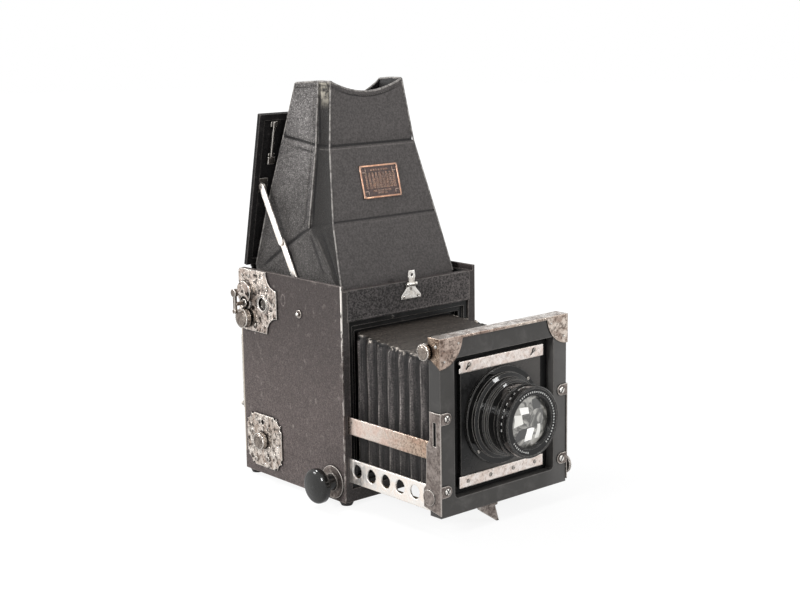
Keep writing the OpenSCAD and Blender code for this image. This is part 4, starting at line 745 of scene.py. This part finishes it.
def crease_of(p, panel, s, band, t, row_gap, rim_gap):
    """How far a point moves along its normal, in millimetres, and how light or dark it is."""
    out = 0.9 * hump(s) ** 0.6 * hump(t) ** 0.6
    if panel in (1, 5):
        tuck = min(1.0, max(0.0, (436 - p.z) / 40.0)) * hump(s)
        out = -3.6 * tuck * (1.0 if band > 1 else 0.3)
    # Each board's top edge stands out a little from the board above it
    # and the lowest fold fades out on the sides, where the gusset's crease takes over
    deep = 1.0 if band == 3 or (band == 2 and t > 0.5) else (0.75, 0.4, 0.08, 0.6, 0.08, 0.4)[panel]
    step = -math.tanh((row_gap - 0.4) / 1.3)
    out += deep * (1.35 * step * math.exp(-abs(row_gap) / 13.0) - 0.9 * bell(row_gap - 1.6, 1.5))
    # The mark darkens each fold's valley and the groove under the hem as painted shade, and lightens the edge
    # above a fold
    mark = deep * (0.62 * bell(row_gap + 1.3, 1.1) - 1.15 * bell(row_gap - 1.3, 1.3))
    out += 0.5 * bell(rim_gap - 1.5, 1.8) - 0.5 * bell(rim_gap - 4.6, 1.1)
    mark -= 0.75 * bell(rim_gap - 4.6, 1.0)
    for a, b, width, depth in creases if panel not in (0, 3) else ():
        gap, along = to_segment(Vector((abs(p.x), p.y, p.z)), a, b)
        amount = depth * bell(gap, width) * min(1.0, hump(along) + 0.35)
        out += amount
        mark += (0.22 if depth > 0 else 0.5) * amount
    return out, mark


print("hood boards:", len(hood_rows) - 1, "grid:", sum(across), "by", sum(upward))

# %% Shape the hood
bm = sheet(across, upward)
crease_layer, tuck_layer, mark_layer = (bm.verts.layers.float.new(n) for n in ("crease", "tuck", "mark"))
cloth_map = bm.loops.layers.uv.new("leather")
nowhere_near = 99.0
for vert, (panel, s), (band, t) in points_of(bm, across, upward):
    low, high = hood_corners(band), hood_corners(band + 1)
    foot = low[panel].lerp(low[(panel + 1) % 6], s)
    head = high[panel].lerp(high[(panel + 1) % 6], s)
    if band == top_band:
        head.z -= rim_dip(panel, s)
    vert.co = foot.lerp(head, t)
    length = max(1.0, (head - foot).length)
    gaps = [t * length] if band in (2, 3) else []
    gaps += [(t - 1) * length] if band in (1, 2) else []
    gap = min(gaps, key=abs) if gaps else nowhere_near
    rim_gap = (1 - t) * length if band == top_band else nowhere_near
    vert[crease_layer], vert[mark_layer] = crease_of(vert.co, panel, s, band, t, gap, rim_gap)
    vert[tuck_layer] = min(1.0, 2.2 * hump(s)) if panel in (1, 5) else 0.0
close_seam(bm)
bmesh.ops.recalc_face_normals(bm, faces=bm.faces[:])
bm.normal_update()
outward = [(v, v.normal.copy()) for v in bm.verts]
for vert, normal in outward:
    wobble = noise.noise(vert.co * 0.03) * 0.9 + noise.noise(vert.co * 0.11) * 0.25
    vert.co += normal * (vert[crease_layer] + (wobble if vert.co.z > 232 else 0.0))
    vert[crease_layer] = max(-1.0, min(1.0, vert[mark_layer]))
to_metres(bm)
for face in bm.faces:
    for loop in face.loops:
        loop[cloth_map].uv = (loop.vert.co.y + loop.vert.co.x, loop.vert.co.z)
print("hood points:", len(bm.verts))

# %% [markdown]
# The leather's finish reads that attribute. It is soft, so it gets a little sheen, and its
# pebbles are larger on the sides than on the smooth front, as on the real hood.
# %% Hood leather
wire = finish("Hood_leather", Sheen_Weight=0.06, Sheen_Roughness=0.45, Specular_IOR_Level=0.3)
grain = pebbles(wire, 520.0, 0.4)
crease, tuck = wire.attribute("crease"), wire.attribute("tuck")
height = wire.parts()[2]
# Painted light: faces that look sideways are paler, and paler still toward the top
side = wire.smooth(wire.math("ABSOLUTE", wire.facing()[0]), 0.55, 0.85)
lit_side_tone = wire.blend(wire.smooth(height, 0.25, 0.42), (0.122, 0.113, 0.108), (0.31, 0.292, 0.285))
tone = wire.coats(
    (0.093, 0.084, 0.082),
    (side, lit_side_tone),
    (clouds(wire, 22.0, 0.36, 0.68)["Mask"], (0.072, 0.066, 0.063), 0.5),
    # Painted shade in the tucked pleats
    (wire.smooth(tuck, 0.1, 0.7, 0.0, 0.98), (0.012, 0.0103, 0.009)))
strength = wire.times(side, 0.28, 0.4)
tone = wire.shade(tone, wire.times(wire.math("SUBTRACT", grain["Tone"], 0.62), strength, 1.0))
# The pleat's outer end is rubbed to a cream patch under the rim
flakes = wire.smooth(wire.noise(150.0, 5.0, 0.65), 0.34, 0.6)
patch = wire.times(wire.smooth(tuck, 0.2, 0.6), flakes)
patch = wire.times(patch, wire.smooth(height, 0.412, 0.43, 0.0, 0.75))
ragged = wire.smooth(wire.noise(260.0, 4.0, 0.7), 0.3, 0.62, 0.25, 1.0)
tone = wire.coats(
    tone,
    (wire.times(grain["Valley"], wire.times(side, 0.5, 0.15)), (0.02, 0.018, 0.017)),
    (patch, (0.5, 0.46, 0.38)),
    # Painted shade in the valleys of the folds; the ridges are rubbed pale
    (wire.smooth(crease, -0.08, -0.62), (0.008, 0.007, 0.007), 0.94),
    (wire.times(wire.smooth(crease, 0.12, 0.6, 0.0, 0.62), ragged), (0.36, 0.33, 0.31)))
rough = wire.times(grain["Valley"], 0.25, 0.48)
hood_leather = wire.surface(tone, rough, grain["Height"], wire.times(side, 0.6, 0.25), 0.0006)
hood_lining = plain_finish("Hood_lining", (0.02, 0.019, 0.019), (0.03, 0.028, 0.028), 0.7, 400.0)

# %% Hood piece
def thicken(obj, thickness, inner_material):
    """Gives the sheet its thickness, and applies it, so that the mesh is final."""
    wall = obj.modifiers.new("Thickness", "SOLIDIFY")
    wall.thickness, wall.offset, wall.material_offset = thickness, -1.0, inner_material
    graph = bpy.context.evaluated_depsgraph_get()
    mesh = bpy.data.meshes.new_from_object(obj.evaluated_get(graph))
    obj.modifiers.clear()
    obj.data = mesh


hood = piece(bm, "Viewing_hood", "body", "hood_leather", hood_leather, hood_lining, outward=False)
thicken(hood, 0.0014, 1)
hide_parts("hood")
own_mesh(hood)
print("hood triangles:", triangles_of(hood))

# %% [markdown]
# ## Piping along the hood's corners
# The boards are bound with narrow leather piping, rubbed pale by handling. A bound edge is a
# small tube that follows the corner: a circle is swept along the corner's points.
# %% Tube helper
def bridge(bm, rings, closed=False):
    """Joins each ring of points to the next with faces."""
    for a, b in list(zip(rings, rings[1:])) + ([(rings[-1], rings[0])] if closed else []):
        for k in range(len(a)):
            m = (k + 1) % len(a)
            bm.faces.new((a[k], a[m], b[m], b[k]))


def tube(bm, points, radius, closed=False):
    """Adds a tube through the points, in metres."""
    rings = []
    count = len(points)
    for k, p in enumerate(points):
        before = points[k - 1] if k or closed else p
        after = points[(k + 1) % count] if k < count - 1 or closed else p
        place = moved(p) @ (after - before).to_track_quat("Z", "Y").to_matrix().to_4x4()
        rings.append(bmesh.ops.create_circle(bm, segments=8, radius=radius, matrix=place)["verts"])
    bridge(bm, rings, closed)
    if not closed:
        bm.faces.new(rings[0][::-1])
        bm.faces.new(rings[-1])


wire = finish("Worn_piping", Specular_IOR_Level=0.4)
rub = clouds(wire, 170.0, 0.4, 0.6)
tone = wire.blend(rub["Mask"], (0.34, 0.32, 0.3), (0.12, 0.11, 0.105))
worn_piping = wire.surface(tone, wire.times(rub["Speck"], 0.2, 0.45), wire.noise(900.0, 3.0), 0.4, 0.0003)


def corner_line(which, first, steps=14):
    """Points along one corner of the hood, from the body to the rim."""
    line = []
    for row in range(first, 4):
        a, b = hood_corners(row)[which], hood_corners(row + 1)[which]
        line += [a.lerp(b, k / steps) for k in range(steps + (row == 3))]
    return [p * 0.001 for p in line]


bm = bmesh.new()
for which, radius, first in ((0, 0.9, 1), (1, 0.9, 1), (2, 0.9, 2), (5, 0.9, 2), (3, 0.8, 1), (4, 0.8, 1)):
    tube(bm, corner_line(which, first), radius * 0.001)
piping = piece(bm, "Hood_piping", "body", "hood_leather", worn_piping)
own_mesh(piping)

# %% [markdown]
# The rim is hemmed: the leather turns over a cord, and a row of stitches holds it. The hem
# follows the dip that leaves room for the nose and brow.
# %% Hem and stitches
def rim_line(drop, out, steps=40):
    line = []
    top = hood_corners(top_band + 1)
    for panel in range(6):
        for s in (k / steps for k in range(steps)):
            p = top[panel].lerp(top[(panel + 1) % 6], s)
            away = Vector((p.x, p.y, 0)).normalized()
            line.append((p + away * out - Vector((0, 0, drop + rim_dip(panel, s)))) * 0.001)
    return line


bm = bmesh.new()
tube(bm, rim_line(0.0, -0.5), 0.0013, closed=True)
hem = piece(bm, "Hood_hem", "body", "hood_leather", worn_piping)
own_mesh(hem)


def stitches(bm, line, gap=0.0027, size=(0.0016, 0.0005, 0.0005)):
    """Short rounded threads along a line of points."""
    travelled = 0.0
    for a, b in zip(line, line[1:]):
        step = (b - a).length
        turn = (b - a).to_track_quat("X", "Z").to_matrix().to_4x4()
        while travelled < step:
            place = moved(a.lerp(b, travelled / step)) @ turn @ Matrix.Diagonal((*size, 1))
            bmesh.ops.create_icosphere(bm, subdivisions=1, radius=0.5, matrix=place)
            travelled += gap
        travelled -= step


thread = plain_finish("Waxed_thread", (0.3, 0.28, 0.25), (0.18, 0.16, 0.14), 0.5, 700.0)
bm = bmesh.new()
rim = rim_line(4.2, 0.55)
stitches(bm, rim + rim[:1])
for row in (2, 3):
    lower, upper = hood_corners(row), hood_corners(row + 1)
    for fold, rear, out in ((5, 4, -1.3), (2, 3, 1.3)):
        low, high = (corners[fold].lerp(corners[rear], 0.12) for corners in (lower, upper))
        stitches(bm, [(low.lerp(high, k / 10) + Vector((out, 0, 0))) * 0.001 for k in range(11)])
hood_thread = piece(bm, "Hood_stitches", "body", "hood_leather", thread)
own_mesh(hood_thread)
print("stitch faces:", len(hood_thread.data.polygons))

# %% [markdown]
# ## The bellows
# A bellows is one sheet of thin leather, creased so that it stacks. Seen from the side its
# pleats are sharp upright ridges; its top is held nearly flat by stiff strips, and where side
# and top meet, each pleat ends in a small crumpled corner. Again one grid is bent into shape,
# and the ridges are remembered for the material.
# %% Bellows shape
pleats, side_depth, top_depth = 8, 6.5, 0.7
rear_y, front_y = -79.6, -219.8
ring_counts = [40, 44, 40, 44]
corner_reach, half_way_up = 5.0, 100


def zigzag(v, phase=0.0):
    """0 in a valley and 1 on a ridge."""
    x = (v * pleats + phase) % 1.0
    return 1 - abs(2 * x - 1)


def bellows_point(edge, s, v):
    half = mix(73.0, 79.0, v)
    top, foot = mix(181.5, 171.7, v), mix(40.0, 36.3, v)
    ridge = zigzag(v, 0.10 * noise.noise(Vector((edge * 3.7, v * 9.0, s * 2.5))))
    ridge_top = zigzag(v, 0.5)
    x_out = half - side_depth * (1 - ridge ** 0.85)
    z_top = top - top_depth * (1 - ridge_top)
    z_foot = foot + top_depth * (1 - ridge_top)
    on_top, on_side = edge == 1, edge in (0, 2)
    x, z, wear_and_light = (
        (-x_out, mix(z_foot, z_top, s), ridge),
        (mix(-x_out, x_out, s), z_top, 0.2 + ridge_top * 0.3),
        (x_out, mix(z_top, z_foot, s), ridge),
        (mix(x_out, -x_out, s), z_foot, ridge_top * 0.5),
    )[edge]
    spot = Vector((x, mix(rear_y, front_y, v), z))
    # Crumpled corners where a side pleat meets the top
    near_top = bell(z_top - z, corner_reach) * bell(half - abs(x), corner_reach * 1.4)
    crumple = noise.noise(spot * 0.22) + 0.9 * noise.noise(spot * 0.55)
    if on_top or spot.z > half_way_up:
        spot.z += 1.8 * crumple * near_top
        spot.x += 1.2 * crumple * near_top * (1 if spot.x < 0 else -1)
    if on_side:
        spot.x *= 1 - 0.045 * near_top * (0.5 + ridge)
    else:
        spot.z -= 2.2 * near_top * (1 - ridge) * (1 if on_top else -1)
    spot.z += 0.35 * noise.noise(spot * 0.05)
    return spot, wear_and_light, 1.6 * crumple * near_top if spot.z > half_way_up else 0.0


lengthwise = [pleats * 12]
bm = sheet(ring_counts, lengthwise)
crease_layer = bm.verts.layers.float.new("crease")
crumple_layer = bm.verts.layers.float.new("crumple")
for vert, (edge, s), _ in points_of(bm, ring_counts, lengthwise):
    vert.co, vert[crease_layer], vert[crumple_layer] = bellows_point(edge, s, (vert.co.y + 1) / 2)
close_seam(bm)
to_metres(bm)
print("bellows points:", len(bm.verts))

# %% Bellows finish
wire = finish("Bellows_leather", Specular_IOR_Level=0.35)
crease, crumpled = wire.attribute("crease"), wire.attribute("crumple")
grain = pebbles(wire, 900.0, 0.6)
age = clouds(wire, 40.0, 0.4, 0.65)["Mask"]
scuff_and_highlight = wire.times(wire.smooth(crease, 0.84, 0.98), wire.times(age, 0.5, 0.3))
tone = wire.coats(
    (0.08, 0.071, 0.068),
    (age, (0.045, 0.039, 0.038)),
    # Painted shade: dark in the pleats' valleys and darker toward the foot
    (wire.smooth(crease, 0.9, 0.15, 0.0, 0.95), (0.008, 0.007, 0.007)),
    (wire.smooth(wire.parts()[2], 0.105, 0.075, 0.0, 0.55), (0.012, 0.011, 0.011)),
    (wire.smooth(wire.facing()[2], 0.4, 0.8), (0.066, 0.056, 0.048)),
    # The ridges are paler as scuffs with a painted highlight; raised crumples are painted lighter, as highlight
    # and rubbing, and dents darker as painted shade
    (scuff_and_highlight, (0.24, 0.22, 0.205)),
    (wire.smooth(crumpled, 0.12, 0.5), (0.4, 0.36, 0.32)),
    (wire.smooth(crumpled, -0.1, -0.45), (0.005, 0.005, 0.005)))
streaks = wire.noise(1.0, 4.0, 0.65, along=(420, 420, 22))
streaks = wire.smooth(streaks, 0.3, 0.7, 0.2, 1.7)
tone = wire.shade(tone, wire.times(wire.times(grain["Tone"], 1.1, 0.3), streaks))
bellows_leather = wire.surface(tone, wire.times(grain["Valley"], 0.2, 0.4), grain["Height"], 0.4, 0.0004)

bellows = piece(bm, "Pleated_bellows", "body", "bellows_leather", bellows_leather)
thicken(bellows, 0.0009, 0)
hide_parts("bellows")
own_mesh(bellows)
print("bellows triangles:", triangles_of(bellows))

# %% [markdown]
# ## The plate on the hood
# A coppered plate with a dark ground sits on the middle board. On the real camera it is a table
# for the curtain; here it carries plain columns of numbers inside a raised border.
# %% Plate
plate_turn = turned(math.pi / 2 - math.atan2(20, 79), 4, "X")
plate_place = moved(Vector((0.4, -42.4, 333.5)) * 0.001) @ plate_turn
copper = aged_nickel("Copper_relief", (0.64, 0.35, 0.22), (0.45, 0.22, 0.13), (0.2, 0.09, 0.055), 0.4, 0.3)
plum_ground = plain_finish("Dark_plate_ground", (0.08, 0.04, 0.032), (0.035, 0.02, 0.017), 0.5, 300.0)


def slab(bm, low, high, matrix, round_by=0.0):
    """A block between two corners in metres, with its edges rounded."""
    centre = (Vector(low) + Vector(high)) / 2
    size = Vector(high) - Vector(low)
    place = matrix @ moved(centre) @ Matrix.Diagonal((*size, 1))
    made = bmesh.ops.create_cube(bm, size=1.0, matrix=place)
    if round_by:
        edges = list({e for v in made["verts"] for e in v.link_edges})
        bmesh.ops.bevel(bm, geom=edges, offset=round_by, affect="EDGES", segments=2, profile=0.5, material=-1)


# Half the plate's width and height, the width of its border, and the arm and width of a corner mark
w, h, band = 0.0268, 0.0182, 0.0021
arm, line_width = 0.0052, 0.0006
bm = bmesh.new()
slab(bm, (0.0003 - w, 0.0003 - h, 0.0006), (w - 0.0003, h - 0.0003, 0.0014), plate_place, 0.0003)
ground_plate = piece(bm, "Plate_ground", "body", "copper_plate", plum_ground, smooth=False)
bm = bmesh.new()
bars = (-w, h - band, w, h), (-w, -h, w, band - h), (-w, -h, band - w, h), (w - band, -h, w, h)
for x0, y0, x1, y1 in bars:
    slab(bm, (x0, y0, 0.0006), (x1, y1, 0.0021), plate_place, 0.0004)
for sx, sy in ((-1, -1), (-1, 1), (1, -1), (1, 1)):
    for size in ((arm, line_width), (line_width, arm)):
        middle = (sx * (w - band - 0.0034), sy * (h - band - 0.0034))
        low = [middle[i] - size[i] / 2 + (sx, sy)[i] * (arm - size[i]) * -0.5 for i in (0, 1)]
        slab(bm, (*low, 0.001), (low[0] + size[0], low[1] + size[1], 0.0017), plate_place)
    pin = plate_place @ moved((sx * (w - 0.0022), sy * (h - 0.0022), 0.0021))
    bmesh.ops.create_uvsphere(bm, u_segments=10, v_segments=6, radius=0.0008, matrix=pin)
border = piece(bm, "Plate_border", "body", "copper_plate", copper)

# %% Numbers on the plate
def figures(rows, height, place, name, body, slot, material, depth=0.0002):
    """Plain numbers as raised relief; each row is (text, x, y, turn)."""
    bm = bmesh.new()
    for text, x, y, turn in rows:
        curve = bpy.data.curves.new("figure", "FONT")
        curve.body, curve.size, curve.extrude, curve.resolution_u = text, height, depth, 2
        curve.align_x, curve.align_y = "CENTER", "CENTER"
        holder = bpy.data.objects.new("figure", curve)
        mesh = bpy.data.meshes.new_from_object(holder)
        mesh.transform(place @ moved((x, y, 0)) @ turned(turn, 4, "Z"))
        bm.from_mesh(mesh)
        bpy.data.objects.remove(holder)
        bpy.data.curves.remove(curve)
        bpy.data.meshes.remove(mesh)
    return piece(bm, name, body, slot, material, smooth=False, outward=False)


times_in_table = (1, 2, 3, 4, 5, 6, 8, 10)
column_values = (10, 15, 25, 35, 50, 65, 80, 90, 95)
table_rows = []
for column, value in enumerate(column_values):
    for line, times in enumerate(times_in_table):
        table_rows.append((str(times * value), -0.0194 + column * 0.00485, 0.0086 - line * 0.0022, 0.0))
longer_rows = {0.0124: "10 20 30 40 50 60 70", -0.0104: "1000 750 500 350 250", -0.013: "100 200 300"}
for y, row in longer_rows.items():
    table_rows.append((row, 0.0, y, 0.0))
on_ground = plate_place @ moved((0, 0, 0.0015))
plate_numbers = figures(table_rows, 0.0028, on_ground, "Plate_numbers", "body", "copper_plate", copper)
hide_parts("info_plate")
for part in (ground_plate, border, plate_numbers):
    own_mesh(part)
print("plate figures:", len(table_rows))

# %% [markdown]
# ## Scales on the lens
# Two rings carry white engraving: stop numbers on the barrel and a band of fine ticks on the
# front ring. Ticks are tiny bars turned about the lens axis.
# %% Lens scales
lens_axis = moved((0, -0.230, 0.108)) @ turned(math.pi / 2, 4, "X")
tick_shapes = ((0.0018, 0.0012), (0.0012, 0.0014), (0.002, 0.0008), (0.0014, 0.0014))


def round_lens(angle, radius, forward):
    """A place on a ring round the lens, with X pointing away from its axis."""
    return lens_axis @ turned(angle, 4, "Z") @ moved((radius, 0, forward))


bm = bmesh.new()
for k in range(56):
    degrees = -50 + k * 5.6
    if degrees <= 125 or 213 <= degrees <= 258:
        x, y = (part / 2 for part in tick_shapes[(k * 7 + k // 5) % 4])
        slab(bm, (-x, -y, -0.0001), (x, y, 0.0001), round_lens(math.radians(degrees), 0.0311, 0.0444))
piece(bm, "Front_ring_ticks", "lens", "black_enamel", white_ink, smooth=False)

bm = bmesh.new()
for k in range(18):
    angle = math.radians(96 + k // 2 * 11) + k % 2 * 0.04
    slab(bm, (-0.0001, -0.0004, -0.0006), (0.0001, 0.0004, 0.0006), round_lens(angle, 0.0359, 0.0362))
piece(bm, "Stop_scale_marks", "lens", "black_enamel", white_ink, smooth=False)

# %% [markdown]
# ## Painted shade and old polish in the slots, and the dial's ring
# A screw slot is too narrow to look dark by itself at this distance, so small dark bars fill the
# slots: painted shade, together with the old polish that sits in them. The round window of the
# side plate has a bright turned ring, and plain figures stand on its dial.
# %% Slots, ring and figures
grime_and_shade_black = plain_finish("Grime_and_shade_black", (0.012, 0.01, 0.009), (0.025, 0.02, 0.017), 0.6, 500.0)
to_front = turned(math.pi / 2, 4, "X")
to_left = turned(-math.pi / 2, 4, "Z") @ to_front


def slot_grime_and_shade(places, radius, height, degrees, name, body):
    """Dark bars of painted shade and old polish in the slots of screw heads that face forward; places, radius
    and height in mm.
    """
    bm = bmesh.new()
    r, h = radius * 0.001, height * 0.001
    for place in places:
        at = moved(Vector(place) * 0.001) @ to_front @ turned(math.radians(degrees), 4, "Z")
        slab(bm, (-r * 0.96, -r * 0.17, h * 0.55), (r * 0.96, r * 0.17, h * 1.04), at)
    piece(bm, name, body, "nickel", grime_and_shade_black, smooth=False)


ears = [(x, -237.2, z) for x in (-82.2, 82.2) for z in (45, 120)]
slot_grime_and_shade(ears, 3.6, 1.4, 55, "Standard_slot_grime_and_shade", "standard")
slot_grime_and_shade([(0, -92.3, 220.5), (-10, -92.3, 212.5), (10, -92.3, 212.5)], 1.5, 0.7, 20, "Body_slot_grime_and_shade", "body")


def on_dial(x):
    return moved((x, 0.046, 0.198)) @ to_left


bm = bmesh.new()
rings = []
for radius, height in ((0.0071, 0.0), (0.0072, 0.0009), (0.0078, 0.0012), (0.0084, 0.0009), (0.0085, 0.0)):
    place = on_dial(-0.098) @ moved((0, 0, height))
    rings.append(bmesh.ops.create_circle(bm, segments=40, radius=radius, matrix=place)["verts"])
bridge(bm, rings, closed=True)
piece(bm, "Dial_ring", "body", "nickel", bright_nickel)
dial_rows = []
for k in range(6):
    angle = math.radians(60 * k)
    dial_rows.append((str(k + 1), 0.0048 * math.sin(angle), 0.0048 * math.cos(angle), -angle))
figures(dial_rows, 0.003, on_dial(-0.0966), "Dial_figures", "curtain_dial", "nickel", bright_nickel, 0.0001)

# %% [markdown]
# ## Floor and light
# Soft light comes from a window at the left, smaller ones at the right, above and behind, and a
# pale room all round. The floor and the room look white to the camera, and to metal and glass,
# which need something pale to reflect; the light that reaches dull surfaces stays moderate.
# %% Floor
def bright_where_seen(wire):
    """1 for rays from the camera, from mirrors or through glass, and 0 for the rest."""
    rays = wire.add("ShaderNodeLightPath").outputs
    return rays, wire.most(rays["Is Camera Ray"], wire.most(rays["Is Glossy Ray"], rays["Is Transmission Ray"]))


bm = bmesh.new()
floor_place = moved((0, 0, -0.0051))
bmesh.ops.create_circle(bm, cap_ends=True, segments=64, radius=9.0, matrix=floor_place)
mesh = bpy.data.meshes.new("Pale_floor")
bm.to_mesh(mesh)
bm.free()
floor = in_scene("Pale_floor", mesh)
wire = finish("Floor_white", Base_Color=(0.8, 0.8, 0.8), Roughness=0.9, Specular_IOR_Level=0.1)
rays, seen = bright_where_seen(wire)
names = {"Color": (1, 1, 1), "Strength": wire.times(rays["Is Camera Ray"], 0.26, 0.84)}
glow = wire.add("ShaderNodeEmission", names)
far = wire.smooth(wire.vector("LENGTH", wire.where), 0.35, 1.1, 0.8, 1.0)
names = {0: wire.times(seen, far), 1: wire.shader.outputs[0], 2: glow.outputs[0]}
shown = wire.add("ShaderNodeMixShader", names).outputs[0]
wire.feed(wire.tree.nodes["Material Output"].inputs["Surface"], shown)
mesh.materials.append(wire.material)
floor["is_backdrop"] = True

# %% Room and windows
world = bpy.data.worlds.new("Pale_room")
bpy.context.scene.world = world
world.use_nodes = True
wire = Wiring(world.node_tree)
room = world.node_tree.nodes["Background"]
wire.feed(room.inputs["Color"], (1, 1, 1))
wire.feed(room.inputs["Strength"], wire.times(bright_where_seen(wire)[1], 0.55, 0.45))


def window(name, place, size, power):
    light = bpy.data.lights.new(name, "AREA")
    light.shape, light.size, light.size_y, light.energy = "RECTANGLE", size[0], size[1], power
    obj = in_scene(name, light)
    obj.location = place
    obj.rotation_euler = (Vector((0, -0.05, 0.2)) - Vector(place)).to_track_quat("-Z", "Y").to_euler()


window("Left_window", (-2.5, -0.5, 1.4), (0.5, 0.8), 43)
window("Right_window", (1.1, -2.2, 1.2), (0.3, 0.6), 15)
window("Top_window", (-0.3, 1.3, 2.1), (0.7, 0.4), 26)
window("Rear_window", (-1.8, 1.6, 0.5), (0.3, 0.9), 11)

triangles = [triangles_of(obj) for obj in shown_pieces() if obj.type == "MESH"]
print("pieces shown:", len(triangles), "triangles:", sum(triangles))
